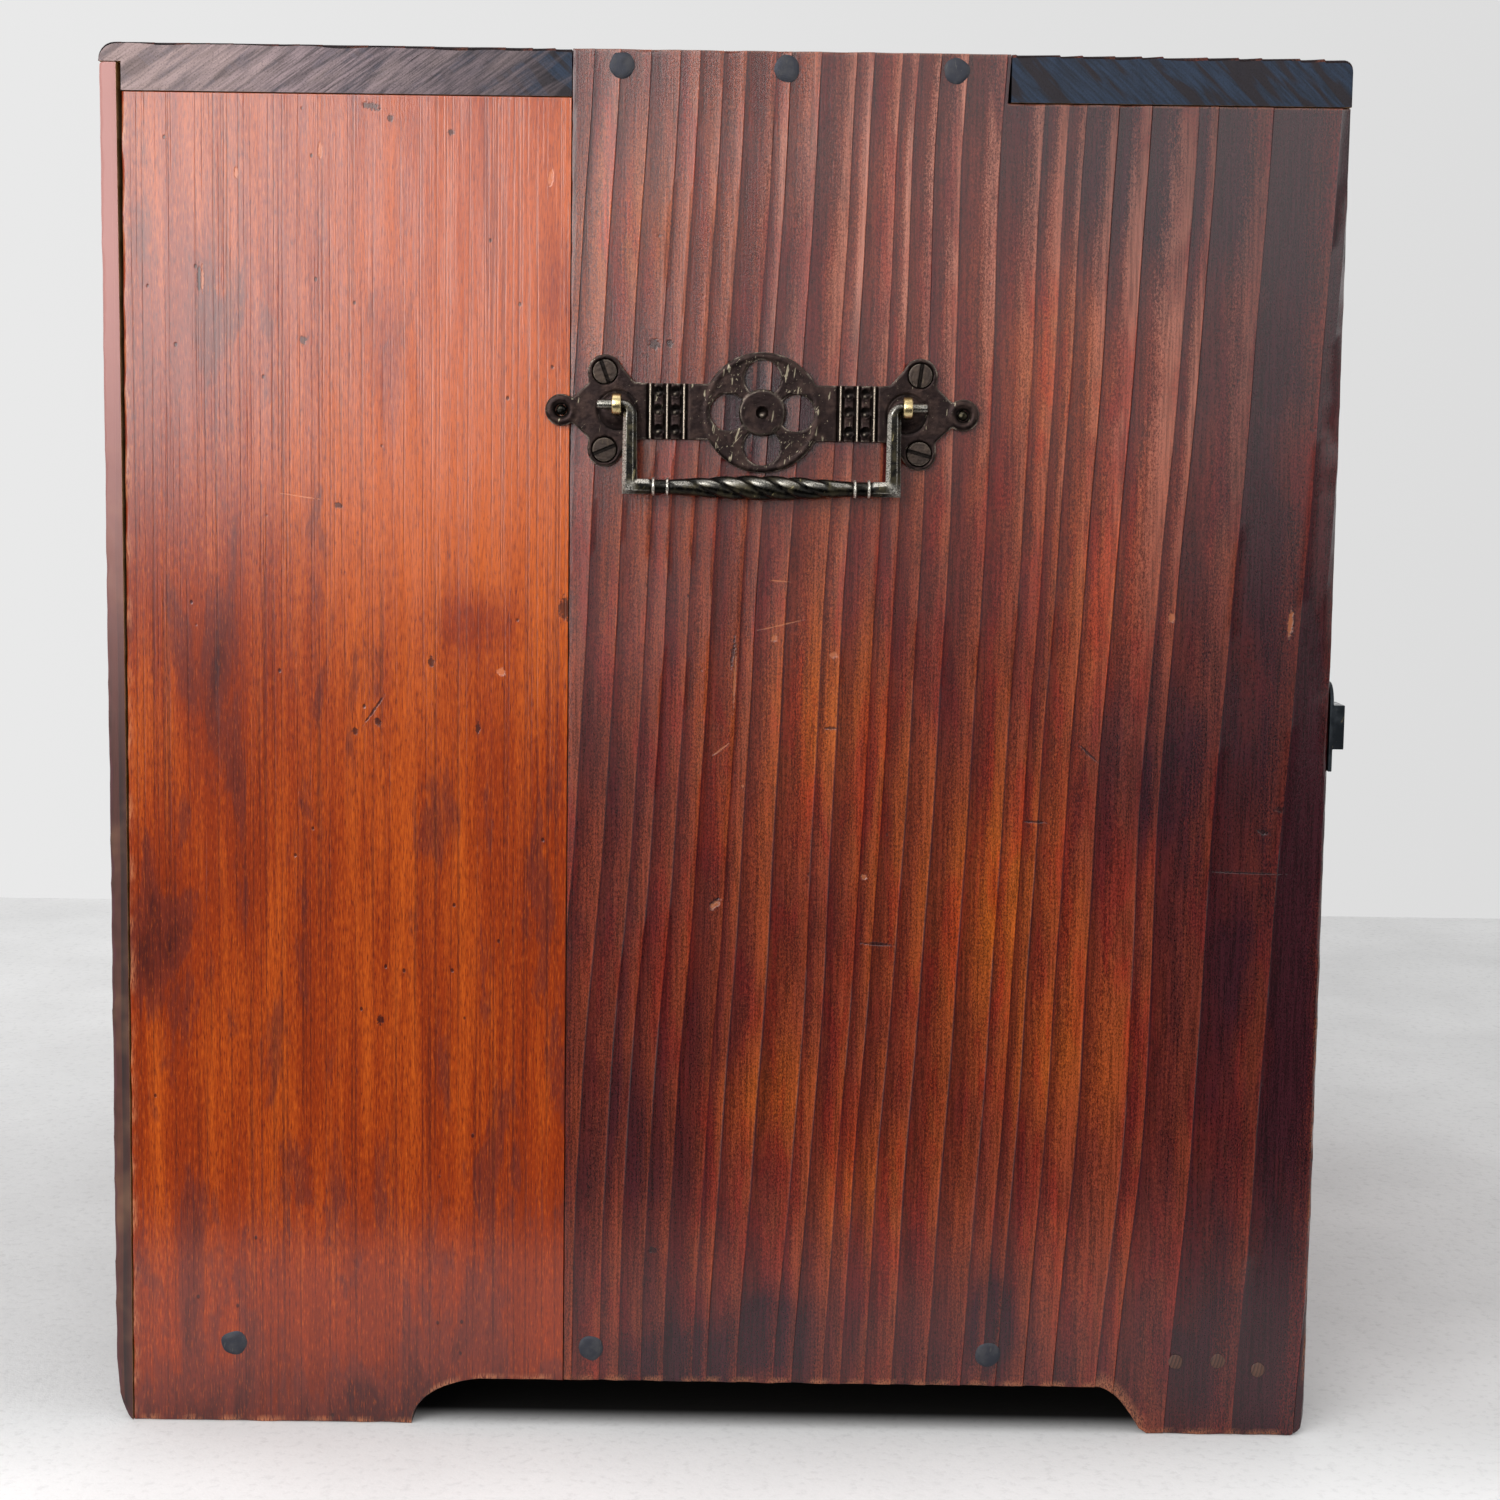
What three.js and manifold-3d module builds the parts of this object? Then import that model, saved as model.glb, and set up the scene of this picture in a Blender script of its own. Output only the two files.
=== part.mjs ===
// Ship chest of softwood boards: a finger-jointed case with a small hinged door, four drawers,
// a sliding latch and two iron carrying handles.
// Millimetres. +X is to the right seen from the front, the front faces -Y, +Z is up, the floor is z = 0.
import * as THREE from "three";
import { mergeVertices } from "three/addons/utils/BufferGeometryUtils.js";
import Module from "manifold-3d";

const wasm = await Module();
wasm.setup();

// Case boards
const caseWidth = 480;
const caseHeight = 450;
const sideDepth = 390;
const sideThickness = 16;
const sideJointFromRear = 143;
const topThickness = 15;
const topTabFromRear = 282;
const topEdgeRadius = 3;
const bottomThickness = 15;
const bottomRise = 19;
const sillDepth = 45;
const sillThickness = 19;
const shelfThickness = 12;
const dividerThickness = 14;
const railThickness = 10;
const seatGap = 0.3;
const frontRecess = 1;

// Feet cut into the lower edge of each side
const archHeight = 15.5;
const rearFootLength = 92.5;
const rearFootCurve = 25;
const frontFootLength = 54;
const frontFootSlope = 15;
const footCornerRadius = 5.5;

// Back boards, bowed away from the case at their upper end
const backThickness = 5.5;
const backBow = 1.3;
const backLipHeight = 6;
const backToeHeight = 26;

// Openings behind the door and the drawers
const topOpeningHeight = 87.5;
const middleOpeningHeight = 196;

// Drawers
const drawerRunGap = 1;
const drawerFrontThickness = 14;
const drawerWall = 8;
const drawerBottomThickness = 5;
const drawerLap = 7;
const drawerRearGap = 12;

// Door
const doorThickness = 14;
const doorRunGap = 1;
const doorBattenHeight = 26;

// Hinges
const hingeKnuckleRadius = 3;
const hingePinRadius = 1.3;
const hingeHeight = 34;
const hingeNarrowHeight = 24;
const hingeLeafThickness = 1.5;
const hingeDoorLeafLength = 36;
const hingePostLeafLength = 12;
const hingeInset = 22;

// Sliding latch
const keeperHeight = 29;
const keeperMargin = 1;
const keeperBoxWall = 2.9;
const latchPlateThickness = 1.2;
const latchRoofThickness = 1;
const boltHeight = 8;
const boltThickness = 2;
const boltLength = 38;
const boltThrow = 9;
const boltRunGap = 0.3;
const boltKnobRadius = 3;
const boltKnobHeight = 4.5;
const guideLength = 42;
const guideHeight = 22;
const guideMargin = 1.5;
const guideStrapWidth = 7;
const guideStrapWall = 1.6;

// Carrying handle: the pierced plate
const handleFromRear = 204.6;
const handleCentreHeight = 336.3;
const handlePlateThickness = 2;
const handleBarHalfLength = 56;
const handleBarHeight = 17.8;
const discRadius = 19.2;
const petalRadius = 5.9;
const petalReach = 10.9;
const hubRadius = 7.3;
const hubRise = 0.8;
const hubCrownRadius = 5.6;
const hubPitRadius = 2.4;
const endLobeRadius = 5.1;
const endLobeReach = 64.3;
const endHoleRadius = 1.9;
const screwLobeRadius = 5.4;
const screwReach = 50.4;
const screwOffset = 12.4;
const screwHeadRadius = 3.9;
const screwHeadRise = 0.8;
const screwSlotWidth = 1.1;
const screwSlotDepth = 0.6;
const screwTurns = [-20, 67, 8, -75];
const ridgeReaches = [25, 30.4, 35.8];
const ridgeWidth = 1.2;
const ridgeRise = 0.5;
const bossRadius = 5.8;
const bossRise = 1.6;
const shoulderHeight = 8.6;
const neckHalfHeight = 3.2;

// Carrying handle: the eyes and the bail
const handle = {
  eyeReach: 46.3,
  eyeRise: 2,
  eyeRadius: 3.5,
  eyeWidth: 3.2,
  neckRadius: 1.6,
  shankLength: 12,
  standoff: 7.2,
  pinRadius: 1.5,
  pinEnd: 52.6,
  legReach: 42,
  barWidth: 4.8,
  barBevel: 1.2,
  drop: 25.9,
  collarReaches: [29.8, 34.4],
  collarRadius: 2.9,
  collarWidth: 1.2,
  gripHalfLength: 29.2,
  gripRadius: 4,
  gripEndRadius: 2.5,
  gripRidges: 3,
  gripTurns: 1.15,
  gripRidgeShare: 0.09,
  gripRings: 20,
  gripSides: 9,
};

// Drawer pull: a plain, smaller bail on a round-ended plate
const pull = {
  eyeReach: 27,
  eyeRise: 0,
  eyeRadius: 3.2,
  eyeWidth: 2.8,
  neckRadius: 1.6,
  shankLength: 0,
  standoff: 6.6,
  pinRadius: 1.3,
  pinEnd: 31.5,
  legReach: 23.2,
  barWidth: 3.8,
  barBevel: 0.9,
  drop: 20,
  collarReaches: [],
  collarRadius: 0,
  collarWidth: 0,
  gripHalfLength: 18,
  gripRadius: 3,
  gripEndRadius: 1.9,
  gripRidges: 0,
  gripTurns: 0,
  gripRidgeShare: 0,
  gripRings: 6,
  gripSides: 8,
};
const pullPlateThickness = 1.5;
const pullPlateHeight = 15;
const pullPlateEndMargin = 9;
const pinClearance = 0.4;
const cutOverrun = 1;

// Facets of round pieces
const discSides = 24;
const roundSides = 12;
const smallSides = 10;
const curveSteps = 6;
const domeSteps = 3;

// Sizes that follow from the ones above
const backReach = seatGap + backBow + backThickness;
const pullReach = pull.standoff + pull.gripRadius - frontRecess;
const boltBack = seatGap + latchPlateThickness + boltRunGap;
const boltFront = boltBack + boltThickness;
const latchReach = boltFront + boltRunGap + latchRoofThickness;
const knobReach = boltFront + boltKnobHeight;
const frontReach = Math.max(pullReach, latchReach, knobReach);
const overallDepth = frontReach + sideDepth + backReach;
const caseFront = frontReach - overallDepth / 2;
const caseRear = caseFront + sideDepth;
const faceFront = caseFront + frontRecess;
const innerSide = caseWidth / 2 - sideThickness;
const topUnderside = caseHeight - topThickness;
const bottomTop = bottomRise + bottomThickness;
const upperShelfTop = topUnderside - topOpeningHeight;
const middleCeiling = upperShelfTop - shelfThickness;
const middleFloor = middleCeiling - middleOpeningHeight;
const lowerShelfUnderside = middleFloor - shelfThickness;
const latchHeight = (middleFloor + middleCeiling) / 2;
const postSide = dividerThickness / 2;
const memberEnd = innerSide - seatGap;
const memberRear = caseRear - seatGap;

const rearWood = new THREE.MeshStandardMaterial({ color: 0xa2431f, roughness: 0.5 });
const frontWood = new THREE.MeshStandardMaterial({ color: 0x5f2a1c, roughness: 0.6 });
const slateWood = new THREE.MeshStandardMaterial({ color: 0x34302f, roughness: 0.6 });
const paleWood = new THREE.MeshStandardMaterial({ color: 0xb08a5c, roughness: 0.7 });
const iron = new THREE.MeshStandardMaterial({ color: 0x2b2622, roughness: 0.5, metalness: 0.8 });
const brass = new THREE.MeshStandardMaterial({ color: 0xc9a94e, roughness: 0.35, metalness: 1 });

// A closed geometry as a solid for joining and cutting.
function solidOf(geometry) {
  const bare = geometry.clone();
  bare.deleteAttribute("normal");
  bare.deleteAttribute("uv");
  const merged = mergeVertices(bare);
  const vertProperties = merged.attributes.position.array;
  const triVerts = new Uint32Array(merged.index.array);
  return new wasm.Manifold(new wasm.Mesh({ numProp: 3, vertProperties, triVerts }));
}

// A solid as a named mesh.
function piece(name, solid, material) {
  const { vertProperties, triVerts } = solid.getMesh();
  const geometry = new THREE.BufferGeometry();
  geometry.setAttribute("position", new THREE.BufferAttribute(new Float32Array(vertProperties), 3));
  geometry.setIndex(new THREE.BufferAttribute(new Uint32Array(triVerts), 1));
  geometry.computeVertexNormals();
  const mesh = new THREE.Mesh(geometry, material);
  mesh.name = name;
  return mesh;
}

function groupOf(pieces, position = [0, 0, 0], turn = 0) {
  const group = new THREE.Group();
  group.position.set(...position);
  group.rotation.z = turn;
  group.add(...pieces);
  return group;
}

function joined(solids) {
  return solids.reduce((whole, next) => whole.add(next));
}

// A box between two values on each axis.
function block([x0, x1], [y0, y1], [z0, z1]) {
  const box = new THREE.BoxGeometry(x1 - x0, y1 - y0, z1 - z0);
  box.translate((x0 + x1) / 2, (y0 + y1) / 2, (z0 + z1) / 2);
  return solidOf(box);
}

// A cylinder along X, Y or Z, from one value to another, at a place on the other two axes.
function rod(axis, radius, [from, to], [a, b], sides = roundSides) {
  const shape = new THREE.CylinderGeometry(radius, radius, to - from, sides);
  const middle = (from + to) / 2;
  if (axis === "x") {
    shape.rotateZ(-Math.PI / 2);
    shape.translate(middle, a, b);
  } else if (axis === "y") {
    shape.translate(a, middle, b);
  } else {
    shape.rotateX(Math.PI / 2);
    shape.translate(a, b, middle);
  }
  return solidOf(shape);
}

// An outline in Y and Z, drawn out along X.
function profileAlongX(outline, [from, to]) {
  const shape = new THREE.ExtrudeGeometry(outline, {
    depth: to - from,
    bevelEnabled: false,
    curveSegments: curveSteps,
  });
  const alongY = new THREE.Vector3(0, 1, 0);
  const alongZ = new THREE.Vector3(0, 0, 1);
  const alongX = new THREE.Vector3(1, 0, 0);
  shape.applyMatrix4(new THREE.Matrix4().makeBasis(alongY, alongZ, alongX));
  shape.translate(from, 0, 0);
  return solidOf(shape);
}

// An outline in X and Z, drawn out along Y.
function profileAlongY(outline, [from, to]) {
  const shape = new THREE.ExtrudeGeometry(outline, {
    depth: to - from,
    bevelEnabled: false,
    curveSegments: curveSteps,
  });
  shape.rotateX(Math.PI / 2);
  shape.translate(0, to, 0);
  return solidOf(shape);
}

function outlineOf(points) {
  return new THREE.Shape(points.map(([a, b]) => new THREE.Vector2(a, b)));
}

// A bar with bevelled edges along X or Z; its section is square.
function bevelledBar(axis, width, bevel, [from, to], [a, b]) {
  const half = width / 2;
  const short = half - bevel;
  const outline = outlineOf([
    [half, -short], [half, short], [short, half], [-short, half],
    [-half, short], [-half, -short], [-short, -half], [short, -half],
  ]);
  const bar = new THREE.ExtrudeGeometry(outline, { depth: to - from, bevelEnabled: false });
  bar.translate(0, 0, from);
  if (axis === "x") {
    bar.rotateY(Math.PI / 2);
    bar.translate(0, a, b);
  } else {
    bar.translate(a, b, 0);
  }
  return solidOf(bar);
}

// A grip along X that swells to its middle, with ridges that wind round it.
function windingGrip(spec) {
  const { gripHalfLength, gripRadius, gripEndRadius, gripRings, gripSides } = spec;
  const points = [];
  const faces = [];
  for (let ring = 0; ring <= gripRings; ring += 1) {
    const along = (2 * ring) / gripRings - 1;
    const swell = Math.cos((along * Math.PI) / 2) ** 2;
    const radius = gripEndRadius + (gripRadius - gripEndRadius) * Math.sqrt(swell);
    for (let side = 0; side < gripSides; side += 1) {
      const angle = (2 * Math.PI * side) / gripSides;
      const wind = spec.gripRidges * angle + 2 * Math.PI * spec.gripTurns * spec.gripRidges * along / 2;
      const reach = radius * (1 - spec.gripRidgeShare * swell * (1 - Math.cos(wind)) / 2);
      points.push(gripHalfLength * along, reach * Math.cos(angle), reach * Math.sin(angle));
    }
  }
  for (let ring = 0; ring < gripRings; ring += 1) {
    for (let side = 0; side < gripSides; side += 1) {
      const here = ring * gripSides + side;
      const beside = ring * gripSides + ((side + 1) % gripSides);
      faces.push(here, beside, here + gripSides, beside, beside + gripSides, here + gripSides);
    }
  }
  const firstCentre = points.length / 3;
  points.push(-gripHalfLength, 0, 0, gripHalfLength, 0, 0);
  for (let side = 0; side < gripSides; side += 1) {
    const next = (side + 1) % gripSides;
    const last = gripRings * gripSides;
    faces.push(firstCentre, next, side, firstCentre + 1, last + side, last + next);
  }
  const geometry = new THREE.BufferGeometry();
  geometry.setAttribute("position", new THREE.Float32BufferAttribute(points, 3));
  geometry.setIndex(faces);
  return solidOf(geometry);
}

// Outline of a side's rear board in Y and Z, with the curve of its foot.
function rearBoardOutline() {
  const outline = new THREE.Shape();
  const curveEnd = caseRear - rearFootLength - rearFootCurve;
  const joint = caseRear - sideJointFromRear + seatGap / 2;
  outline.moveTo(caseRear, 0);
  outline.lineTo(caseRear, topUnderside - seatGap);
  outline.lineTo(joint, topUnderside - seatGap);
  outline.lineTo(joint, archHeight);
  outline.lineTo(curveEnd, archHeight);
  outline.absellipse(curveEnd, 0, rearFootCurve, archHeight, Math.PI / 2, 0, true);
  outline.closePath();
  return outline;
}

// Outline of a side's front board, with the tab at its top and the slope of its foot.
function frontBoardOutline() {
  const outline = new THREE.Shape();
  const joint = caseRear - sideJointFromRear - seatGap / 2;
  const tab = caseRear - topTabFromRear + seatGap / 2;
  const footInner = caseFront + frontFootLength;
  const slopeTop = footInner + frontFootSlope;
  outline.moveTo(joint, archHeight);
  outline.lineTo(joint, caseHeight);
  outline.lineTo(tab, caseHeight);
  outline.lineTo(tab, topUnderside - seatGap);
  outline.lineTo(caseFront, topUnderside - seatGap);
  outline.lineTo(caseFront, footCornerRadius);
  outline.quadraticCurveTo(caseFront, 0, caseFront + footCornerRadius, 0);
  outline.lineTo(footInner, 0);
  outline.quadraticCurveTo(footInner + frontFootSlope / 2, archHeight, slopeTop, archHeight);
  outline.closePath();
  return outline;
}

// The side boards; each board is bored for the shanks of the handle's eyes.
function sides() {
  const pieces = [];
  for (const [hand, sign] of [["left", -1], ["right", 1]]) {
    const faces = [sign * innerSide, (sign * caseWidth) / 2].sort((a, b) => a - b);
    const outerFace = (sign * caseWidth) / 2;
    const boreEnd = outerFace - sign * (handle.shankLength + seatGap);
    const bore = [boreEnd, outerFace + sign * cutOverrun].sort((a, b) => a - b);
    let front = profileAlongX(frontBoardOutline(), faces);
    for (const along of [-handle.eyeReach, handle.eyeReach]) {
      const place = [caseRear - handleFromRear + along, handleCentreHeight + handle.eyeRise];
      front = front.subtract(rod("x", handle.neckRadius + seatGap, bore, place, smallSides));
    }
    pieces.push(piece(`side_${hand}_rear_board`, profileAlongX(rearBoardOutline(), faces), rearWood));
    pieces.push(piece(`side_${hand}_front_board`, front, frontWood));
  }
  return pieces;
}

// The top board: its end grain shows as a rear and a front tab, with the side's tab between them,
// and its rear edge is rebated over the back boards.
function topBoard() {
  const rearFace = caseRear + backReach;
  const outline = new THREE.Shape();
  outline.moveTo(caseFront, topUnderside);
  outline.lineTo(caseRear, topUnderside);
  outline.lineTo(caseRear, caseHeight - backLipHeight);
  outline.lineTo(rearFace, caseHeight - backLipHeight);
  outline.lineTo(rearFace, caseHeight - topEdgeRadius);
  outline.quadraticCurveTo(rearFace, caseHeight, rearFace - topEdgeRadius, caseHeight);
  outline.lineTo(caseFront + topEdgeRadius, caseHeight);
  outline.quadraticCurveTo(caseFront, caseHeight, caseFront, caseHeight - topEdgeRadius);
  outline.closePath();
  let board = profileAlongX(outline, [-caseWidth / 2, caseWidth / 2]);
  const notchDepth = [caseRear - topTabFromRear - seatGap / 2, caseRear - sideJointFromRear + seatGap / 2];
  for (const sign of [-1, 1]) {
    const ends = [sign * (innerSide - seatGap), sign * (caseWidth / 2 + cutOverrun)];
    const notch = ends.sort((a, b) => a - b);
    board = board.subtract(block(notch, notchDepth, [topUnderside - cutOverrun, caseHeight + cutOverrun]));
  }
  return piece("top_board", board, slateWood);
}

// The back boards stand side by side and are planed round to the floor at their toes.
function backBoards() {
  const top = caseHeight - backLipHeight - seatGap;
  const inner = caseRear + seatGap;
  const outline = new THREE.Shape();
  outline.moveTo(inner, 0);
  outline.lineTo(inner + backThickness / 2, backToeHeight / 4);
  outline.quadraticCurveTo(inner + backThickness, backToeHeight / 2, inner + backThickness, backToeHeight);
  outline.quadraticCurveTo(inner + backThickness, top / 2, inner + backThickness + backBow, top);
  outline.lineTo(inner + backBow, top);
  outline.quadraticCurveTo(inner, top / 2, inner, backToeHeight);
  outline.closePath();
  const end = caseWidth / 2;
  return [
    piece("back_board_left", profileAlongX(outline, [-end, -seatGap / 2]), frontWood),
    piece("back_board_right", profileAlongX(outline, [seatGap / 2, end]), frontWood),
  ];
}

// The boards that lie and stand between the sides.
function innerBoards() {
  const across = [-memberEnd, memberEnd];
  const along = [faceFront, memberRear];
  const sillRear = faceFront + sillDepth;
  const middle = [middleFloor + seatGap, middleCeiling - seatGap];
  const rail = [latchHeight - railThickness / 2, latchHeight + railThickness / 2];
  const lowerShelf = [lowerShelfUnderside, middleFloor];
  const upperShelf = [middleCeiling, upperShelfTop];
  const sill = [bottomTop - sillThickness, bottomTop];
  return [
    piece("front_sill", block(across, [faceFront, sillRear], sill), frontWood),
    piece("bottom_board", block(across, [sillRear + seatGap, memberRear], [bottomRise, bottomTop]), paleWood),
    piece("lower_shelf", block(across, along, lowerShelf), paleWood),
    piece("upper_shelf", block(across, along, upperShelf), paleWood),
    piece("middle_divider", block([-postSide, postSide], along, middle), frontWood),
    piece("small_drawer_shelf", block([postSide + seatGap, memberEnd], along, rail), paleWood),
  ];
}

// One drawer of five boards with its pull, in a frame at the middle of the lower edge of its face.
function drawer(name, [left, right], [floor, ceiling]) {
  const half = (right - left) / 2 - drawerRunGap;
  const height = ceiling - floor - seatGap - drawerRunGap;
  const depth = caseRear - faceFront - drawerRearGap;
  const lapStart = drawerFrontThickness - drawerLap;
  const wallStart = lapStart + seatGap;
  const wallFloor = drawerBottomThickness + seatGap;
  const backHalf = half - drawerWall - seatGap;
  const behind = [lapStart, drawerFrontThickness + cutOverrun];
  let front = block([-half, half], [0, drawerFrontThickness], [0, height]);
  front = front.subtract(block([-half - cutOverrun, half + cutOverrun], behind, [-cutOverrun, wallFloor]));
  for (const sign of [-1, 1]) {
    const ends = [sign * backHalf, sign * (half + cutOverrun)];
    const rebate = ends.sort((a, b) => a - b);
    front = front.subtract(block(rebate, behind, [-cutOverrun, height + cutOverrun]));
  }
  const wallRun = [wallStart, depth];
  const wallRise = [wallFloor, height];
  const backRun = [depth - drawerWall, depth];
  const boards = [
    piece(`${name}_front`, front, frontWood),
    piece(`${name}_left_wall`, block([-half, drawerWall - half], wallRun, wallRise), paleWood),
    piece(`${name}_right_wall`, block([half - drawerWall, half], wallRun, wallRise), paleWood),
    piece(`${name}_back`, block([-backHalf, backHalf], backRun, wallRise), paleWood),
    piece(`${name}_bottom`, block([-half, half], wallRun, [0, drawerBottomThickness]), paleWood),
    groupOf(drawerPull(name), [0, 0, height / 2]),
  ];
  return groupOf(boards, [(left + right) / 2, faceFront, floor + seatGap]);
}

// An eye: a ring on a neck whose shank runs back to a value on Y.
function eye(spec, at, shankEnd) {
  const place = [-spec.standoff, spec.eyeRise];
  const width = [at - spec.eyeWidth / 2, at + spec.eyeWidth / 2];
  const hole = [width[0] - cutOverrun, width[1] + cutOverrun];
  const ring = rod("x", spec.eyeRadius, width, place, smallSides);
  const neck = rod("y", spec.neckRadius, [-spec.standoff, shankEnd], [at, spec.eyeRise], smallSides);
  const whole = ring.add(neck);
  return whole.subtract(rod("x", spec.pinRadius + pinClearance, hole, place, smallSides));
}

// A bail: two pins that turn in the eyes, two legs and a grip.
function bail(spec) {
  const { legReach, barWidth, barBevel, drop, standoff, eyeRise } = spec;
  const low = eyeRise - drop;
  const solids = [];
  for (const sign of [-1, 1]) {
    const pin = [sign * legReach, sign * spec.pinEnd].sort((a, b) => a - b);
    const stub = [sign * (spec.gripHalfLength - barBevel), sign * (legReach + barWidth / 2)];
    const leg = [low - barWidth / 2, eyeRise + barWidth / 2];
    solids.push(rod("x", spec.pinRadius, pin, [-standoff, eyeRise], smallSides));
    solids.push(bevelledBar("z", barWidth, barBevel, leg, [sign * legReach, -standoff]));
    solids.push(bevelledBar("x", barWidth, barBevel, stub.sort((a, b) => a - b), [-standoff, low]));
    for (const reach of spec.collarReaches) {
      const centre = sign * reach;
      const collar = [centre - spec.collarWidth / 2, centre + spec.collarWidth / 2];
      solids.push(rod("x", spec.collarRadius, collar, [-standoff, low], smallSides));
    }
  }
  solids.push(windingGrip(spec).translate(0, -standoff, low));
  return joined(solids);
}

// The plate of a drawer pull, with its eyes riveted on.
function drawerPull(name) {
  const end = pull.eyeReach + pullPlateEndMargin;
  const round = pullPlateHeight / 2;
  const outline = new THREE.Shape();
  outline.moveTo(-end + round, -round);
  outline.lineTo(end - round, -round);
  outline.absarc(end - round, 0, round, -Math.PI / 2, Math.PI / 2, false);
  outline.lineTo(-end + round, round);
  outline.absarc(-end + round, 0, round, Math.PI / 2, (3 * Math.PI) / 2, false);
  const plate = profileAlongY(outline, [-seatGap - pullPlateThickness, -seatGap]);
  const eyeRoot = -seatGap - pullPlateThickness / 2;
  const eyes = [-pull.eyeReach, pull.eyeReach].map((at) => eye(pull, at, eyeRoot));
  return [
    piece(`${name}_pull_plate`, joined([plate, ...eyes]), iron),
    piece(`${name}_pull_bail`, bail(pull), iron),
  ];
}

// The pierced plate: a bar with a disc, shoulders and round lobes, and four slotted screws in it.
function handlePlate() {
  const back = -seatGap;
  const face = back - handlePlateThickness;
  const depth = [face, back];
  const deep = [face - cutOverrun, back + cutOverrun];
  const half = handleBarHeight / 2;
  const solids = [
    block([-handleBarHalfLength, handleBarHalfLength], depth, [-half, half]),
    rod("y", discRadius, depth, [0, 0], discSides),
    rod("y", hubCrownRadius, [face - hubRise, face], [0, 0]),
  ];
  for (const sign of [-1, 1]) {
    const neck = sign * (endLobeReach - endLobeRadius / 2);
    const outer = sign * (screwReach + screwLobeRadius);
    const inner = sign * (screwReach - screwLobeRadius);
    const shoulder = outlineOf([
      [neck, -neckHalfHeight], [outer, -shoulderHeight], [outer, -screwOffset],
      [inner, -screwOffset], [inner - sign * screwLobeRadius / 2, -half],
      [inner - sign * screwLobeRadius / 2, half], [inner, screwOffset],
      [outer, screwOffset], [outer, shoulderHeight], [neck, neckHalfHeight],
    ]);
    solids.push(profileAlongY(shoulder, depth));
    solids.push(rod("y", endLobeRadius, depth, [sign * endLobeReach, 0]));
    solids.push(bossDome(sign * handle.eyeReach, face));
    for (const up of [-1, 1]) {
      solids.push(rod("y", screwLobeRadius, depth, [sign * screwReach, up * screwOffset]));
    }
    for (const reach of ridgeReaches) {
      const ridge = [sign * reach - ridgeWidth / 2, sign * reach + ridgeWidth / 2];
      solids.push(block(ridge, [face - ridgeRise, face], [-half, half]));
    }
  }
  let plate = joined(solids);
  const hub = rod("y", hubRadius, deep, [0, 0]);
  for (const [x, z] of [[1, 0], [-1, 0], [0, 1], [0, -1]]) {
    const petal = rod("y", petalRadius, deep, [x * petalReach, z * petalReach]);
    plate = plate.subtract(petal.subtract(hub));
  }
  plate = plate.subtract(rod("y", hubPitRadius, [face - hubRise - cutOverrun, face], [0, 0], smallSides));
  for (const sign of [-1, 1]) {
    plate = plate.subtract(rod("y", endHoleRadius, deep, [sign * endLobeReach, 0], smallSides));
    const shank = [sign * handle.eyeReach, handle.eyeRise];
    const bore = [face - bossRise - cutOverrun, back + cutOverrun];
    plate = plate.subtract(rod("y", handle.neckRadius + seatGap, bore, shank, smallSides));
  }
  return joined([plate, ...screwHeads(face)]);
}

// A low round boss on the plate's face, under an eye.
function bossDome(at, face) {
  const profile = [new THREE.Vector2(0, 0), new THREE.Vector2(bossRadius, 0)];
  for (let step = 1; step < domeSteps; step += 1) {
    const angle = (Math.PI / 2) * (step / domeSteps);
    profile.push(new THREE.Vector2(bossRadius * Math.cos(angle), bossRise * Math.sin(angle)));
  }
  profile.push(new THREE.Vector2(0, bossRise));
  const dome = new THREE.LatheGeometry(profile, roundSides);
  dome.rotateX(Math.PI);
  dome.translate(at, face, 0);
  return solidOf(dome);
}

// The slotted heads of the four screws that hold the plate.
function screwHeads(face) {
  const places = [[-1, 1], [-1, -1], [1, 1], [1, -1]];
  return places.map(([side, up], index) => {
    const place = [side * screwReach, up * screwOffset];
    const head = rod("y", screwHeadRadius, [face - screwHeadRise, face], place);
    const slotTop = face - screwHeadRise - cutOverrun;
    const slotLength = 2 * screwHeadRadius + cutOverrun;
    const slot = new THREE.BoxGeometry(screwSlotWidth, screwSlotDepth + cutOverrun, slotLength);
    slot.rotateY(THREE.MathUtils.degToRad(screwTurns[index]));
    slot.translate(place[0], slotTop + (screwSlotDepth + cutOverrun) / 2, place[1]);
    return head.subtract(solidOf(slot));
  });
}

// A carrying handle in its own frame, flat against Y = 0 and facing -Y.
function carryingHandle(hand) {
  const shankEnd = handle.shankLength;
  return [
    piece(`handle_${hand}_plate`, handlePlate(), iron),
    piece(`handle_${hand}_eye_a`, eye(handle, -handle.eyeReach, shankEnd), brass),
    piece(`handle_${hand}_eye_b`, eye(handle, handle.eyeReach, shankEnd), brass),
    piece(`handle_${hand}_bail`, bail(handle), iron),
  ];
}

function carryingHandles() {
  const along = caseRear - handleFromRear;
  return [
    groupOf(carryingHandle("left"), [-caseWidth / 2, along, handleCentreHeight], -Math.PI / 2),
    groupOf(carryingHandle("right"), [caseWidth / 2, along, handleCentreHeight], Math.PI / 2),
  ];
}

// The door's panel between two end battens; its right edge hangs on the divider.
const doorLeft = -innerSide + doorRunGap;
const doorRight = -postSide - doorRunGap;
const doorFloor = middleFloor + doorRunGap;
const doorTop = middleCeiling - doorRunGap;

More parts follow.
